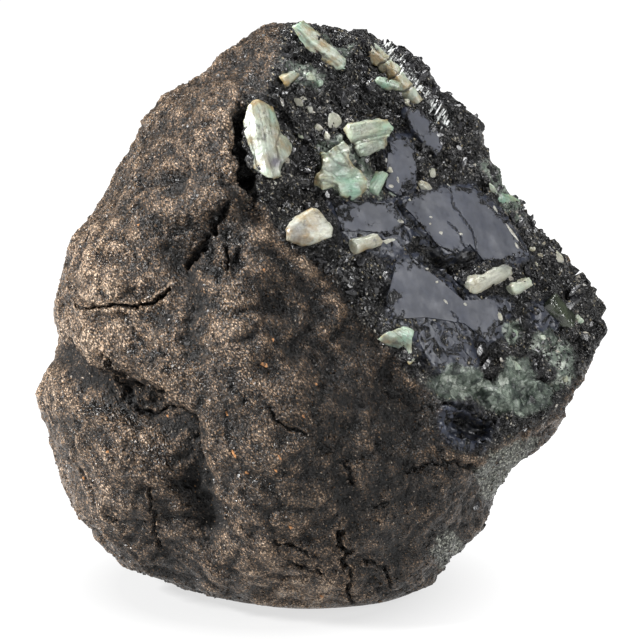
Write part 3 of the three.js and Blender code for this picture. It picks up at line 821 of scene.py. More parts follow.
def schist_finish():
    """The rock: grainy weathered rind, and the minerals of the broken face."""
    f = Finish("schist")
    layers = f.along_layers(1.4)
    grains = f.cells(0.38, layers)
    shares = f.shares(grains.outputs["Color"])
    dust = f.shares(f.cells(0.22, layers).outputs["Color"])
    # Where each mineral is
    wrinkles = f.between(f.noise(2.3, 4, 0.55, 1.6), 0.28, 0.48)
    by_quartz = f.between(f.ragged("grey", f.noise(3.5, 4), 5.0), -4.0, 1.5)
    is_grey = f.math("MULTIPLY", by_quartz, wrinkles)
    is_broken = f.between(f.ragged("broken", f.noise(4.5, 5, 0.65), 11.0), -3.5, 3.5)
    is_glassy = f.math("MAXIMUM", is_grey, f.between(f.mark("green"), -2.0, 4.0, 0.0, 0.85))
    is_smooth = f.math("MULTIPLY", is_glassy, is_broken)
    # Colour, with painted shade between the grains and in the cracks and hollows
    colour = f.mix(is_broken, rind_colour(f, dust, layers), broken_colour(f, shares, is_grey))
    between_grains = f.between(grains.outputs["Distance"], 0.33, 0.56)
    gaps = f.math("SUBTRACT", between_grains, is_smooth, clamp=True)
    colour = f.mix(f.math("MULTIPLY", gaps, 0.8), colour, SHADE_BLACK)
    f.set(Base_Color=f.mix(f.mark("crack"), colour, SHADE_BLACK))
    # Gloss, duller in the sooty folds
    soot = f.mark("soot")
    rind_rough = f.spread(shares[2], 0.12, 0.5)
    face_rough = f.spread(shares[2], 0.1, 0.45)
    rough = f.blend(is_broken, rind_rough, face_rough)
    rough = f.total(rough, (f.swing(f.noise(8, 3)), 0.3), (soot, 0.5))
    f.set(Roughness=f.blend(is_smooth, rough, 0.3), IOR=SCHIST_IOR)
    # Relief, with each grain tilted its own way except where the rock is smooth
    height = f.total(
        0.0,
        (grains.outputs["Distance"], -0.2),
        (f.noise(0.35, 2, place=layers), 0.08),
        (f.noise(0.75, 3, 0.6, place=layers), 0.45),
        (f.noise(1.6, 2, place=layers), 0.5),
    )
    height = f.math("MULTIPLY", height, f.spread(is_smooth, 1.0, 0.06))
    tilt = f.math("MULTIPLY", f.spread(soot, 1.0, 0.3), f.spread(is_broken, 0.8, 1.15))
    inputs = {0: is_smooth, 4: f.flake_normal(grains, tilt), 5: f.surface_normal()}
    tilted = f.node("ShaderNodeMix", inputs, data_type="VECTOR").outputs[1]
    f.set(Normal=f.bump(height, 0.8, 1.0, tilted))
    return f.material


def crystal_finish(name, rough):
    """Cloudy beryl: pale streaks along the prism, greener and browner in places."""
    f = Finish(name)
    streaks = f.node("ShaderNodeAttribute", attribute_name="streaks").outputs["Vector"]
    uneven = f.spread(f.noise(3.6, 3), 0.4, 1.2)
    green = f.math("MULTIPLY", f.mark("green"), uneven, clamp=True)
    colour = f.mix(green, BERYL_PALE, BERYL_GREEN)
    patchy = f.between(f.noise(3.4, 4, 0.65), 0.3, 0.9)
    stain = f.math("MULTIPLY", f.mark("stain"), patchy, clamp=True)
    colour = f.mix(stain, colour, BERYL_STAIN)
    # Grey facets, and painted shade where a crystal is darkened against the lamps
    colour = f.mix(f.mark("shade"), colour, BERYL_GREY_AND_SHADE)
    flaws = f.between(f.noise(2.2, 5, 0.7), 0.3, 0.08, 0.0, 0.8)
    colour = f.mix(flaws, colour, BERYL_FLAW)
    # Painted shade in the grooves
    colour = f.mix(f.mark("groove_shade"), colour, BERYL_GROOVE_SHADE)
    # Thin brown veins in some places
    wavy = f.vectors("ADD", streaks, f.waves(0.9, 0.5))
    vein = f.cells(1.7, wavy, feature="DISTANCE_TO_EDGE").outputs["Distance"]
    some = f.between(f.noise(4.0, 2), 0.45, 0.7, 0.0, 0.7)
    colour = f.mix(f.math("MULTIPLY", f.between(vein, 0.05, 0.0), some), colour, BERYL_VEIN)
    # Cloudy inside
    cloudy = f.shares(f.cells(1.5, wavy).outputs["Color"])
    shade = f.total(
        0.36,
        (cloudy[0], 0.28),
        (f.noise(0.5, 3, 0.6, place=streaks), 0.22),
        (f.noise(1.8, 3, 0.6, place=streaks), 0.24),
        (f.noise(0.6, 4, 0.65), 0.38),
    )
    colour = f.mix(1.0, colour, shade, "MULTIPLY")
    f.set(Base_Color=colour, Roughness=rough, IOR=BERYL_IOR, Subsurface_Weight=0.45)
    f.set(Subsurface_Radius=BERYL_SCATTER, Subsurface_Scale=BERYL_SCATTER_DEPTH * MM)
    height = f.total(0.0, (f.noise(0.5, 3, 0.6, place=streaks), 0.6), (f.noise(0.35, 3, 0.6), 0.4))
    f.set(Normal=f.bump(height, 0.14, 0.45))
    return f.material


def glass_finish():
    """Dark olive glassy emerald."""
    f = Finish("olive emerald")
    rough = f.spread(f.noise(1.2, 3), 0.08, 0.25)
    f.set(Base_Color=f.ramp(f.noise(2.6, 3), OLIVE_TONES), Roughness=rough)
    f.set(IOR=BERYL_IOR, Transmission_Weight=0.4)
    f.set(Normal=f.bump(f.noise(0.8, 3), 0.15, 0.5))
    return f.material


def quartz_finish():
    """Smooth smoky quartz with thin dark cracks, and black mica showing through in places."""
    f = Finish("quartz")
    colour = f.ramp(f.total(0.0, (f.noise(6, 3), 0.6), (f.noise(0.9, 3), 0.4)), QUARTZ_TONES)
    colour = f.mix(f.mark("crack"), colour, QUARTZ_CRACK)
    is_mica = f.between(f.ragged("dark", f.noise(1.6, 5, 0.7), 0.9), 0.42, 0.62)
    colour = f.mix(is_mica, colour, QUARTZ_MICA)
    rough = f.blend(is_mica, f.spread(f.noise(2.5, 3), 0.34, 0.5), 0.22)
    f.set(Base_Color=colour, Roughness=rough, IOR=QUARTZ_IOR)
    level = f.bump(f.total(0.0, (f.noise(3.0, 3), 0.4), (f.noise(0.5, 3, 0.6), 0.1)), 0.08, 0.12)
    f.set(Normal=f.bump(f.noise(0.6, 3, 0.6), 0.7, is_mica, level))
    return f.material


def black_mica_finish():
    """Black glossy mica."""
    f = Finish("black mica")
    rough = f.spread(f.noise(1.5, 2), 0.12, 0.35)
    f.set(Base_Color=f.ramp(f.noise(0.9, 3, 0.6), BLACK_TONES), Roughness=rough)
    f.set(IOR=BLACK_MICA_IOR)
    f.set(Normal=f.bump(f.noise(0.6, 3, place=f.along_layers(5.0)), 0.12, 0.6))
    return f.material


def plain_finish(name, stops, length, rough, ior):
    """Mottled in lumps `length` apart, and otherwise plain."""
    f = Finish(name)
    f.set(Base_Color=f.ramp(f.noise(length, 3), stops), Roughness=rough, IOR=ior)
    return f.material


def loose_finish(name, stops, rough, ior):
    """Flakes or grains, each with the tone that its mesh keeps."""
    f = Finish(name)
    tone = f.total(-0.1, (f.mark("tone"), 1.0), (f.noise(0.3, 2), 0.2))
    f.set(Base_Color=f.ramp(tone, stops), Roughness=rough, IOR=ior)
    f.set(Normal=f.bump(f.noise(0.25, 2), 0.06, 0.6))
    return f.material


# The stone
CRYSTAL_NODES = [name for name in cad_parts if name.split("_")[0] in ("emerald", "beryl")]
QUARTZ_NODES = [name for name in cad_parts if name.startswith("quartz")]
PLUG_GROWTH = 0.45
PLUG_DEPTH = 0.3  # under the broken face, at least
PLUG_UNDER_TOP = 1.6
STONE_ROUNDS = 40
RIND_SMOOTHING = 0.6
FACE_SMOOTHING = 0.08
EDGE_ON = 0.05  # the camera doesn't see what faces it less than this
HIDDEN_DROP = 150  # pixels taken off a depth where the stone is turned right away
SEEN_FADE = 0.1
BASE_LEVEL = 0.6  # relief starts above this height
BASE_FADE = 4
# How far lines and outlines wander, in pixels
FACE_EDGE_WANDER = 6
FOLD_WANDER = 5
CRACK_WANDER = 3.2
OUTLINE_WANDER = 3
PATCH_WANDER = 2
# How wide the edges of outlines are, in pixels
FACE_EDGE_FADE = 10
STRIAE_FADE = 12
POCKET_FADE = 5
PATCH_FADE = 4
FIBRE_FADE = 4
# Relief
FOLD_START = -0.2  # folds start where the stone faces the camera as much as this
FOLD_FADE = 0.5
STRIAE_LENGTH = 9  # how much longer the fine ridges are than they are wide
CRACK_UNEVEN = 0.5
LIP_HEIGHT = 0.3  # of the low lips beside a crack
LIP_PLACE = 2.0  # in half widths of the crack, as is the next
LIP_WIDTH = 0.8
HUG_HEIGHT = 1.1  # how far the rock rises round a crystal
HUG_REACH = 3.0
PATCH_REACH = 6  # rock further than this from the broken face isn't levelled
SOOTY_FOLD = 3  # a fold this deep is sooty all over
CAVITY_ROUNDS = 16
CAVITY_SMOOTHING = 0.6
CAVITY_DEPTH = 0.5  # painted shade is darkest this far under the smoothed rock, and painted light brightest this far over it
# The rind is browner beside the broken face, from a row of pixels down
RIM_BROWN = 0.6
RIM_PLACE = 7
RIM_WIDTH = 6
RIM_TOP = 200


def add_plugs(shell):
    """Fills each crystal's socket up to just under the broken face, so the rock hugs the crystal."""
    for name in CRYSTAL_NODES + QUARTZ_NODES:
        plug = node_shell(name, grow=PLUG_GROWTH)
        top = max((v.co / MM - FACE_POINT).dot(FACE_NORMAL) for v in plug.verts)
        level = FACE_POINT + FACE_NORMAL * min(-PLUG_DEPTH, top - PLUG_UNDER_TOP)
        cut(plug, level * MM, FACE_NORMAL)
        join(shell, plug)


def stone_skin():
    shell = node_shell("schist_matrix")
    add_plugs(shell)
    skin = even_skin(shell, STONE_VOXEL)
    broken = depth_inside(pixels_of(skin.points), BROKEN_EDGE)
    weight = np.clip((6 - broken) / 12, FACE_SMOOTHING, RIND_SMOOTHING)
    weight[skin.facing() < 0] = RIND_SMOOTHING
    skin.smooth(STONE_ROUNDS, weight[:, None])
    # Finer on the broken face and near the cracks, then finer again nearer to the cracks
    for reach, with_face in ((5, True), (3, False)):
        pixels = pixels_of(skin.points)
        near = np.zeros(len(pixels), bool)
        for width, _, route in CRACKS:
            near |= route_distance(pixels, route) < width + reach
        if with_face:
            near |= depth_inside(pixels, BROKEN_EDGE) > -4
        skin.split(near & (skin.facing() > EDGE_ON))
    return skin


def rind_relief(points):
    """Broad lumps, creases, and grain drawn out along the layers."""
    swept = points + 3.0 * wander(points, 16, 2, 2.0, 23.0, 61.0)
    layer = np.array(LAYER)
    drawn = swept - 0.6 * (swept @ layer)[:, None] * layer
    creases = np.clip(1 - 6 * np.abs(lumps(swept, 15, 3, 70.0)), 0, 1) ** 1.5
    grain = 0.5 * lumps(drawn, 3.6, 3, 5.0) + 0.3 * lumps(drawn, 1.4, 2, 9.0)
    ridges = 0.4 - np.abs(lumps(drawn, 6, 3, 40.0))
    pits = np.clip(lumps(points, 2.8, 2, 17.0) - 0.3, 0, 1)
    broad = 1.6 * lumps(points, 26, 2, 54.0) + 1.1 * lumps(points, 12, 3, 90.0)
    return broad + grain + 0.7 * ridges - 0.8 * creases - 0.8 * pits


def broken_relief(points):
    """Chips of two sizes, each tilted its own way, on low lumps."""
    return facets(points, 4.4, 0.7) + facets(points, 1.7, 0.6) + 0.4 * lumps(points, 7, 2, 3.0)


def fold_heights(pixels):
    heights = np.zeros(len(pixels))
    for width, height, route in FOLDS:
        gap = route_distance(pixels, route) / width
        heights += height * np.exp(-gap ** 2)
    return heights


def feature_relief(pixels, warp):
    """Height of the ridges, cracks and hollows seen in the photograph, and the painted shade inside the
    cracks and hollows.
    """
    heights = np.zeros(len(pixels))
    darkness = np.zeros(len(pixels))
    for turn, spacing, height, outline in STRIAE:
        turn = math.radians(turn)
        along = pixels @ (math.cos(turn), -math.sin(turn))
        across = pixels @ (math.sin(turn), math.cos(turn))
        bent = across + OUTLINE_WANDER * warp[:, 0]
        drawn = np.stack((along / STRIAE_LENGTH, bent, np.zeros(len(pixels))), 1)
        share = np.clip(depth_inside(pixels, outline) / STRIAE_FADE + 0.3, 0, 1)
        heights += height * share * lumps(drawn, spacing, 2)
    for width, depth, route in CRACKS:
        gap = route_distance(pixels + CRACK_WANDER * warp, route) / width
        gap = gap / (1 + CRACK_UNEVEN * warp[:, 1])
        heights -= depth * np.clip(1 - gap, 0, 1) ** 0.8
        heights += LIP_HEIGHT * np.exp(-((gap - LIP_PLACE) / LIP_WIDTH) ** 2)
        darkness = np.maximum(darkness, np.clip(1.1 - gap, 0, 1))
    for depth, outline in POCKETS:
        inside = depth_inside(pixels + OUTLINE_WANDER * warp, outline)
        sunk = np.clip(inside / POCKET_FADE + 0.4, 0, 1)
        heights -= depth * sunk
        darkness = np.maximum(darkness, 0.8 * sunk)
    return heights, darkness


def nearness(points, nodes, reach):
    """1 at the surface of the named solids, falling to 0 at `reach` from them."""
    shell = bmesh.new()
    for name in nodes:
        shell.from_mesh(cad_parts[name].data)
    tree = BVHTree.FromBMesh(shell)
    shell.free()
    gaps = np.array([tree.find_nearest(Vector(place))[3] for place in points * MM]) / MM
    return np.clip(1 - gaps / reach, 0, 1)


def shape_stone(skin):
    points = skin.points.copy()
    pixels = pixels_of(points)
    facing = skin.facing()
    seen = np.clip(facing / SEEN_FADE, 0, 1)
    hidden = np.clip(EDGE_ON - facing, 0, 1) * HIDDEN_DROP
    warp = wander(points, 2.4, 3, 11.0, 47.0)
    broken = depth_inside(pixels, BROKEN_EDGE) - hidden
    edge = broken + FACE_EDGE_FADE / 2 + FACE_EDGE_WANDER * warp[:, 0]
    is_broken = np.clip(edge / FACE_EDGE_FADE, 0, 1)
    on_face = is_broken > 0
    rock = np.zeros(len(points))
    rock[on_face] = broken_relief(points[on_face])
    folds = fold_heights(pixels + FOLD_WANDER * warp)
    features, darkness = feature_relief(pixels, warp)
    heights = rind_relief(points) * (1 - is_broken) + rock * is_broken + seen * features
    # Folds fade out towards the sides, and the rock rises round each crystal
    heights += np.clip((facing - FOLD_START) / FOLD_FADE, 0, 1) * folds
    heights += HUG_HEIGHT * is_broken * seen * nearness(points, CRYSTAL_NODES, HUG_REACH)
    # Quartz round the plates is level with them
    over_face = face_heights(points)
    for level, outline in GREY_PATCHES:
        if level is None:
            continue
        inside = depth_inside(pixels + PATCH_WANDER * warp, outline)
        share = seen * np.clip(inside / PATCH_FADE + 0.5, 0, 1)
        share[np.abs(over_face) > PATCH_REACH] = 0
        heights += share * (level - over_face + 0.04 * rock + 0.5 * seen * features - heights)
    # The resting face stays level
    base = np.clip((points[:, 2] - BASE_LEVEL) / BASE_FADE, 0, 1)
    skin.push(heights * base)
    skin.points[:, 2] = np.maximum(skin.points[:, 2], 0)
    mark_stone(skin, pixels, broken, hidden, seen * darkness)
    skin.mark("soot", seen * np.clip(-folds / SOOTY_FOLD, 0, 1))


def brown_shade_and_light_share(points, pixels, broken):
    """How much browner than soot the rind is at each point, some of it painted shade and painted light.
    """
    rim = RIM_BROWN * np.exp(-((broken + RIM_PLACE) / RIM_WIDTH) ** 2)
    brown_shade_and_light = rim * (pixels[:, 1] > RIM_TOP) + 0.25 * lumps(points, 22, 2, 31.0)
    for across, down, reach, share in BROWN_SHADE_AND_LIGHT_PLACES:
        brown_shade_and_light += share * spot_share(pixels, across, down, reach)
    return brown_shade_and_light


def mark_stone(skin, pixels, broken, hidden, darkness):
    """Keeps where each mineral is, where the rind is browner, and where shade and light are painted, for
    the finish.
    """
    skin.mark("broken", broken)
    skin.mark("crack", darkness)
    skin.mark("grey", depth_in_any(pixels, GREY_OUTLINES) - hidden)
    skin.mark("green", depth_in_any(pixels, GREEN_PATCHES) - hidden)
    skin.mark("pale", depth_in_any(pixels, PALE_PATCHES) - hidden)
    fibre = np.clip(1.4 - route_distance(pixels, FIBRE_BAND) / FIBRE_FADE, 0, 1)
    skin.mark("fibre", fibre * (hidden == 0))
    # Painted shade in hollows and painted light on lumps, by how far the rock lies under or over a
    # smoothed copy of itself
    level = Skin(skin.mesh)
    level.points = skin.points.copy()
    level.smooth(CAVITY_ROUNDS, CAVITY_SMOOTHING)
    relief_shade = np.einsum("ij,ij->i", skin.points - level.points, skin.normals())
    skin.mark("relief_shade", np.clip(relief_shade / CAVITY_DEPTH, -1, 1))
    skin.mark("brown_shade_and_light", brown_shade_and_light_share(skin.points, pixels, broken))


# Crystals and quartz
CRYSTAL_GROWTH = 0.6
CRYSTAL_ROUNDS = 16
ROUNDED_LIFT = 0.7
SHOWN_DEPTH = 1.2  # what is this near to a low crystal's top counts as showing
OUTLINE_OVERLAP = 1.15  # a crystal is stretched this far past its outline, and trimmed
OUTLINE_RAGGED = 1.3
STREAK_SQUEEZE = 0.85
LINE_HEIGHT = 0.07
GROOVE_WANDER = 1.4
GROOVE_WIDTH = 1.7
GROOVE_DEPTH = 0.4
DARKEST_GROOVE = 0.9
STAIN_HEIGHT = 1.6  # crystals are stained up to this height over the broken face
STAIN_RIM = 5  # and this far in from their outlines, in pixels
MOST_TINT = 1.3
PLATE_GROWTH = 0.05
PLATE_TOP = 0.7  # a plate's top reaches this far down
PLATE_RIM = 11  # pixels in from the edge that mica shows
PLATE_CRACK_WANDER = 1.8
PLATE_CRACK_DARK = 0.8
PLATE_CRACK_WIDTH = 1.4
PLATE_CRACK_DEPTH = 0.2


def fit_outline(skin, outline):
    """Stretches what shows of a crystal to an outline in the photograph, and trims it there."""
    corners = np.array(outline, float)
    pixels = pixels_of(skin.points)
    heights = face_heights(skin.points)
    shown = pixels[heights > min(0, heights.max() - SHOWN_DEPTH)]
    stretch = OUTLINE_OVERLAP * np.ptp(corners, 0) / np.ptp(shown, 0)
    middle = (shown.min(0) + shown.max(0)) / 2
    fitted = (corners.min(0) + corners.max(0)) / 2 + (pixels - middle) * stretch
    ragged = fitted + OUTLINE_RAGGED * wander(skin.points, 1.1, 2, 3.0, 19.0)
    nearest = nearest_on_route(ragged, outline + outline[:1])
    outside = depth_inside(ragged, outline) < 0
    fitted[outside] += nearest[outside] - ragged[outside]
    shift = (fitted - pixels) * PIXEL
    skin.points += shift[:, :1] * RIGHT - shift[:, 1:] * UP


def mark_tints(skin, name, pixels):
    """Keeps how green and stained a crystal is at each point, and how grey: partly its own grey facets
    and partly painted shade.
    """
    low = np.clip(1 - face_heights(skin.points) / STAIN_HEIGHT, 0, 1)
    green, stain = TINTS[name]
    tints = np.stack((np.full(len(low), green), stain + low, np.zeros(len(low))), 1)
    if name in OUTLINES:
        inside = depth_inside(pixels, OUTLINES[name])
        tints[:, 1] += 0.5 * np.clip(1 - inside / STAIN_RIM, 0, 1)
    for across, down, reach, *change in CRYSTAL_SPOTS:
        tints += spot_share(pixels, across, down, reach)[:, None] * np.array(change)
    for tint, values in zip(("green", "stain", "shade"), np.clip(tints, 0, MOST_TINT).T):
        skin.mark(tint, values)


def crystal_skin(name):
    shell = node_shell(name, grow=CRYSTAL_GROWTH)
    if name in ROUNDED:
        bmesh.ops.delete(shell, geom=shell.edges[:], context="EDGES_FACES")
        bmesh.ops.convex_hull(shell, input=shell.verts[:])
    skin = even_skin(shell, CRYSTAL_VOXEL)
    if name in ROUNDED:
        skin.points += ROUNDED_LIFT * np.array(FACE_NORMAL)
    axis = skin.long_axis()
    skin.smooth(ROUNDS.get(name, CRYSTAL_ROUNDS), 0.5)
    if name in OUTLINES:
        fit_outline(skin, OUTLINES[name])
        skin.smooth(5, 0.5)
    # Fine lines along the prism, breaks across it, and grooves
    squeezed = skin.points - STREAK_SQUEEZE * (skin.points @ axis)[:, None] * axis
    lines = lumps(squeezed, 0.9, 2)
    breaks = facets(squeezed, 2.0, 0.2)
    pixels = pixels_of(skin.points)
    wobbly = pixels + GROOVE_WANDER * wander(skin.points, 1.6, 2, 0.0, 7.0)
    grooves = np.max([
        strength * np.clip(1 - route_distance(wobbly, route) / GROOVE_WIDTH, 0, 1)
        for strength, route in PRISM_GROOVES
    ], 0)
    broad = 0.2 * lumps(skin.points, 5, 2)
    fine = 0.05 * lumps(skin.points, 1.3, 2)
    skin.push(LINE_HEIGHT * lines + broad + breaks - GROOVE_DEPTH * grooves + fine)
    # The grooves also carry painted shade in the finish
    skin.mark("groove_shade", np.clip(grooves, 0, DARKEST_GROOVE))
    skin.mark_places("streaks", squeezed)
    mark_tints(skin, name, pixels)
    return skin


def plate_skin(name):
    """A smooth quartz plate with thin cracks, dark with mica in places and along its rim."""
    skin = even_skin(node_shell(name, grow=PLATE_GROWTH), PLATE_VOXEL, crisp=True)
    pixels = pixels_of(skin.points)
    darkness = np.zeros(len(pixels))
    heights = 0.12 * lumps(skin.points, 7, 2) + 0.012 * lumps(skin.points, 1.5, 2)
    wobbly = pixels + PLATE_CRACK_WANDER * wander(skin.points, 1.2, 3, 0.0, 7.0)
    for route in QUARTZ_CRACKS:
        gap = route_distance(wobbly, route)
        darkness = np.maximum(darkness, np.clip(1.3 - gap / PLATE_CRACK_DARK, 0, 1))
        heights -= PLATE_CRACK_DEPTH * np.clip(1 - gap / PLATE_CRACK_WIDTH, 0, 1)
    skin.push(heights)
    skin.mark("crack", darkness)
    spots = [
        share * spot_share(pixels, across, down, reach)
        for across, down, reach, share in DARK_SPOTS
    ]
    over_face = face_heights(skin.points)
    top = pixels[over_face > over_face.max() - PLATE_TOP]
    rim = [tuple(top[corner]) for corner in convex_hull_2d([Vector(pixel) for pixel in top])]
    border = np.clip(1 - depth_inside(pixels, rim) / PLATE_RIM, 0, 1)
    skin.mark("dark", np.max(spots + [0.6 * border], 0))
    return skin


# Small things
STEP_IN = 0.03  # share of the way to the middle of the broken face
CHIP_CUTS = 9
CHIP_CUT_DEPTHS = (0.45, 0.75)  # how far from a chip's middle its flat sides are
SMALL_CHIP = 6  # pixels across: smaller chips are flatter
SMALL_CHIP_THICKNESS = 0.15
CHIP_THICKNESS = 0.4
WIDEST_THICKNESS = 8  # pixels across: wider chips are no thicker than this one
BOOK_TILT = 0.35
UNEVEN = (0.65, 1.35)  # how unlike their form the scattered copies are
FLAKE_WIDTH = 0.23
FLAKE_LEAN = 0.6
FLAKE_FACING = 0.55  # flakes lie only where the rock faces the camera more than this
FLAKE_GAP = 4  # pixels that flakes keep from the places without mica
GRAIN_WIDTH = 0.34
GRAIN_LEAN = 0.5
GRAIN_SINK = 0.1
LOWEST_GRAIN = 1.5
BARE_FOLD = -1.5  # no grains lie in folds deeper than this
FIBRE_ENDS = ((384, 446), (46, 124))  # across and down
FIBRE_STRAY = 1.6
FIBRE_TURN = -51
BOOK_CORNERS = ((235, 25), (556, 430))
BOOK_TRIES = 5  # places drawn for each book that is wanted
BOOK_EDGE_GAP = 5  # pixels
BOOK_GAP = 2


def sight_hit(trees, pixel):
    """The first place that the camera sees at a pixel, and the way that its surface faces.

    A pixel beside the stone is moved in towards the middle of the broken face until it is on it.
    """
    pixel = np.array(pixel, float)
    while True:
        hits = [tree.ray_cast(Vector(EYE * MM), line_of_sight(pixel)) for tree in trees]
        hits = [hit for hit in hits if hit[0]]
        if hits:
            place, way, _, _ = min(hits, key=lambda hit: hit[3])
            return place, way
        pixel += STEP_IN * (FACE_MIDDLE - pixel)


def chip(length, width):
    """A small angular chip, half sunk in what it lies on."""
    work = bmesh.new()
    bmesh.ops.create_icosphere(work, subdivisions=2, radius=1.0)
    for _ in range(CHIP_CUTS):
        way = Vector(draws.normal(size=3)).normalized()
        cut(work, way * draws.uniform(*CHIP_CUT_DEPTHS), way)
    bmesh.ops.triangulate(work, faces=work.faces)
    flatness = SMALL_CHIP_THICKNESS if width < SMALL_CHIP else CHIP_THICKNESS
    thick = min(width, WIDEST_THICKNESS) * flatness
    size = Vector((length / 2, width / 2, thick)) * PIXEL * MM
    bmesh.ops.scale(work, vec=size, verts=work.verts)
    return work


def chips_skin(chips, trees, green, stain, tilt, hug):
    """Chips where the camera sees them, which follow the surface under them as far as `hug` says."""
    shell = bmesh.new()
    for across, down, length, width, turn in chips:
        place, way = sight_hit(trees, (across, down))
        up = (hug * way + 2 * CHIP_WAY + Vector(draws.normal(0, 1, 3) * tilt)).normalized()
        turn = math.radians(turn)
        along = Vector(RIGHT * math.cos(turn) - UP * math.sin(turn))
        side = up.cross(along).normalized()
        turned = Matrix((side.cross(up), side, up)).transposed().to_4x4()
        made = chip(length, width)
        bmesh.ops.transform(made, matrix=Matrix.Translation(place) @ turned, verts=made.verts)
        join(shell, made)
    skin = Skin(mesh_of(shell, "chips"))
    skin.mark_places("streaks", skin.points)
    skin.mark("green", green)
    skin.mark("stain", stain)
    skin.mark("shade", 0.0)
    skin.mark("groove_shade", 0.0)
    return skin


def scatter_skin(form, places, ways, sizes, tones):
    """Many copies of one small form in one mesh, each with its own place, way, size and tone."""
    form.verts.index_update()
    corners = np.array([v.co for v in form.verts])
    faces = np.array([[v.index for v in face.verts] for face in form.faces])
    form.free()
    count = len(places)
    spin = draws.normal(size=(count, 3))
    ways = ways / np.linalg.norm(ways, axis=1)[:, None]
    first = np.cross(ways, spin)
    first /= np.linalg.norm(first, axis=1)[:, None]
    axes = np.stack((first, np.cross(ways, first), ways), 1)
    shapes = corners * draws.uniform(*UNEVEN, (count, len(corners), 3)) * sizes[:, None, :]
    points = places[:, None, :] + np.einsum("nki,nij->nkj", shapes, axes)
    mesh = bpy.data.meshes.new("scatter")
    shifts = (np.arange(count) * len(corners))[:, None, None]
    all_faces = (faces + shifts).reshape(-1, faces.shape[1]).tolist()
    mesh.from_pydata(points.reshape(-1, 3) * MM, [], all_faces)
    skin = Skin(mesh)
    skin.mark("tone", np.repeat(tones, len(corners)))
    return skin


def flakes_skin(stone):
    """Thin mica flakes that stand out of the broken rock."""
    middles, ways, areas = stone.face_table()
    pixels = pixels_of(middles)
    on_rock = (depth_inside(pixels, BROKEN_EDGE) > 0) & (ways @ SIGHT < -FLAKE_FACING)
    chance = areas * on_rock * (depth_in_any(pixels, NO_MICA) < -FLAKE_GAP)
    chosen = draws.choice(len(middles), FLAKES, p=chance / chance.sum())
    form = bmesh.new()
    bmesh.ops.create_cone(
        form, segments=6, radius1=1.0, radius2=0.9, depth=1.0, cap_ends=True, cap_tris=True
    )
    bmesh.ops.triangulate(form, faces=form.faces)
    leaning = ways[chosen] + np.array(FACE_NORMAL) + FLAKE_LEAN * draws.normal(size=(FLAKES, 3))
    width = draws.lognormal(math.log(FLAKE_WIDTH), 0.5, FLAKES)
    sizes = np.stack((width, width * draws.uniform(0.3, 1.0, FLAKES), 0.08 + 0.12 * width), 1)
    tones = draws.beta(0.8, 2.4, FLAKES) * 1.25
    return scatter_skin(form, middles[chosen], leaning, sizes, tones)


def grains_skin(stone):
    """Grains that stand out of the weathered rind."""
    middles, ways, areas = stone.face_table()
    pixels = pixels_of(middles)
    broken = depth_inside(pixels, BROKEN_EDGE)
    on_face = (broken > 2) & (ways @ SIGHT < -EDGE_ON)
    chance = areas * ~on_face * (middles[:, 2] > LOWEST_GRAIN)
    chance *= (fold_heights(pixels) > BARE_FOLD) | (ways @ SIGHT > 0)
    chosen = draws.choice(len(middles), GRAINS, p=chance / chance.sum())
    form = bmesh.new()
    bmesh.ops.create_cube(form, size=1.0)
    leaning = ways[chosen] + GRAIN_LEAN * draws.normal(size=(GRAINS, 3))
    width = draws.lognormal(math.log(GRAIN_WIDTH), 0.25, (GRAINS, 1))
    sizes = width * draws.uniform(0.6, 1.3, (GRAINS, 3))
    # Grains take the rind's brown, painted shade and painted light under them
    brown_shade_and_light = brown_shade_and_light_share(middles[chosen], pixels[chosen], broken[chosen])
    tones = 0.14 + 0.26 * brown_shade_and_light + 0.6 * draws.beta(1.2, 2.6, GRAINS)
    return scatter_skin(form, middles[chosen] - GRAIN_SINK * ways[chosen], leaning, sizes, tones)


def fibre_places():
    """Thin chips in a row along the ridge."""
    fibres = []
    for across, down in zip(*(np.linspace(*ends, FIBRES) for ends in FIBRE_ENDS)):
        across += draws.normal(0, FIBRE_STRAY)
        down += draws.normal(0, FIBRE_STRAY)
        length = draws.uniform(10, 26)
        width = draws.uniform(1.6, 3.2)
        fibres.append((across, down, length, width, FIBRE_TURN))
    return fibres


def book_places():
    """Chips by chance over the black rock of the broken face."""
    spots = draws.uniform(*BOOK_CORNERS, (BOOKS * BOOK_TRIES, 2))
    on_mica = depth_inside(spots, BROKEN_EDGE) > BOOK_EDGE_GAP
    on_mica &= depth_in_any(spots, NO_MICA + list(OUTLINES.values())) < -BOOK_GAP
    return [
        (*spot, draws.uniform(6, 16), draws.uniform(3, 9), draws.uniform(0, 180))
        for spot in spots[on_mica][:BOOKS]
    ]


# All the pieces
finishes = {"emerald": crystal_finish("emerald", 0.28), "beryl": crystal_finish("beryl", 0.3)}
schist = schist_finish()
quartz = quartz_finish()
stone = stone_skin()
shape_stone(stone)
rock = piece("weathered_schist", stone, schist, "schist_matrix")
for node in CRYSTAL_NODES:
    kind = node.split("_")[0]
    finish = glass_finish() if node == "emerald_dark_grain" else finishes[kind]
    piece(node + "_crystal", crystal_skin(node), finish, node)
plates = [
    piece(node + "_surface", plate_skin(node), quartz, node, smooth=False)
    for node in QUARTZ_NODES
]
fibres = fibre_places()
books = book_places()
graph = bpy.context.evaluated_depsgraph_get()
trees = [BVHTree.FromObject(surface, graph) for surface in [rock] + plates]
emerald = finishes["emerald"]
beryl = finishes["beryl"]
black_mica = black_mica_finish()
silk = plain_finish("fibres", FIBRE_TONES, 0.8, 0.22, BERYL_IOR)
rust = plain_finish("rusty grains", RUST_TONES, 0.6, 0.5, RUST_IOR)
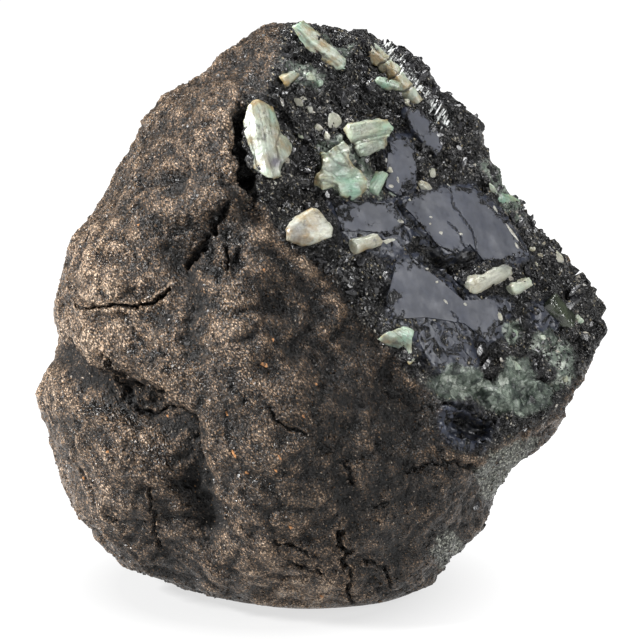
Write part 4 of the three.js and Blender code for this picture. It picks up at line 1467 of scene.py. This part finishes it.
# Name, chips, finish and slot, then how green, stained and tilted they are and how far they hug the rock
chip_pieces = [
    ("black_chips", BLACK_CHIPS, black_mica, "schist", 0.0, 0.0, 0.0, 0.0),
    ("mica_books", books, black_mica, "schist", 0.0, 0.0, BOOK_TILT, 1.0),
    ("green_chips", GREEN_CHIPS, emerald, "emerald", 0.6, 0.5, 0.0, 1.0),
    ("ridge_fibres", fibres, silk, "beryl", 0.1, 0.1, 0.0, 1.0),
    ("pale_chips", PALE_CHIPS, beryl, "beryl", 0.0, 0.3, 0.0, 1.0),
    ("tan_chips", TAN_CHIPS, beryl, "beryl", 0.0, 1.2, 0.0, 1.0),
    ("rusty_grains", ORANGE_CHIPS, rust, "schist", 0.0, 0.0, 0.0, 1.0),
]
for name, chips, finish, slot, green, stain, tilt, hug in chip_pieces:
    piece(name, chips_skin(chips, trees, green, stain, tilt, hug), finish, smooth=False)
flake_finish = loose_finish("mica flakes", MICA_TONES, 0.14, MICA_FLAKE_IOR)
grain_finish = loose_finish("rind grains", RIND_TONES, 0.3, RIND_GRAIN_IOR)
piece("mica_flakes", flakes_skin(stone), flake_finish, smooth=False)
piece("rind_grains", grains_skin(stone), grain_finish, smooth=False)


# Studio, in metres
FLOOR_HALF = 4.0
SHADOW_MIDDLE = (-0.012, 0.0, 0.0)  # the floor's glow is dimmer round this place: a painted shadow under the stone
SHADOW_REACH = (0.03, 0.052)
GLOW_STRENGTH = (0.7, 0.99)
FLOOR_GREY = (0.1, 0.1, 0.1, 1.0)
WHITE = (1.0, 1.0, 1.0, 1.0)
WORLD_STRENGTH = 0.11
# Lamps: name, place, size and power
LAMPS = [
    ("key", (-0.9, -0.32, 0.62), 0.2, 33.0),
    ("top", (0.1, 0.1, 0.95), 0.3, 8.0),
    ("right", (0.8, -0.52, 0.54), 0.35, 7.0),
]


def floor():
    work = bmesh.new()
    bmesh.ops.create_grid(work, x_segments=1, y_segments=1, size=FLOOR_HALF)
    mesh = mesh_of(work, "floor")
    f = Finish("pale floor")
    inputs = {0: f.place, 1: SHADOW_MIDDLE}
    away = f.node("ShaderNodeVectorMath", inputs, operation="DISTANCE").outputs["Value"]
    # A painted shadow: the floor glows less near the stone
    glow = f.between(away, *SHADOW_REACH, *GLOW_STRENGTH)
    f.set(Base_Color=FLOOR_GREY, Roughness=0.8)
    f.set(Emission_Color=WHITE, Emission_Strength=glow)
    mesh.materials.append(f.material)
    add_object("floor", mesh)


def softbox(name, place, size, power):
    """A square lamp turned to the stone."""
    lamp = bpy.data.lights.new(name, "AREA")
    lamp.size = size
    lamp.energy = power
    made = add_object(name, lamp)
    made.location = place
    way = Vector(VIEW_TARGET * MM) - Vector(place)
    made.rotation_euler = way.to_track_quat("-Z", "Y").to_euler()


def studio():
    scene = bpy.context.scene
    world = bpy.data.worlds.new("studio")
    world.use_nodes = True
    background = world.node_tree.nodes["Background"]
    background.inputs["Color"].default_value = WHITE
    background.inputs["Strength"].default_value = WORLD_STRENGTH
    scene.world = world
    for lamp in LAMPS:
        softbox(*lamp)
    scene.view_settings.view_transform = "Standard"
    camera = bpy.data.cameras.new("camera")
    camera.sensor_width = SENSOR_WIDTH
    camera.lens = SENSOR_WIDTH * VIEW_DISTANCE / VIEW_WIDTH
    made = add_object("camera", camera)
    made.location = EYE * MM
    made.rotation_euler = (math.pi / 2 - VIEW_ELEVATION, 0, 0)
    scene.camera = made


floor()
studio()
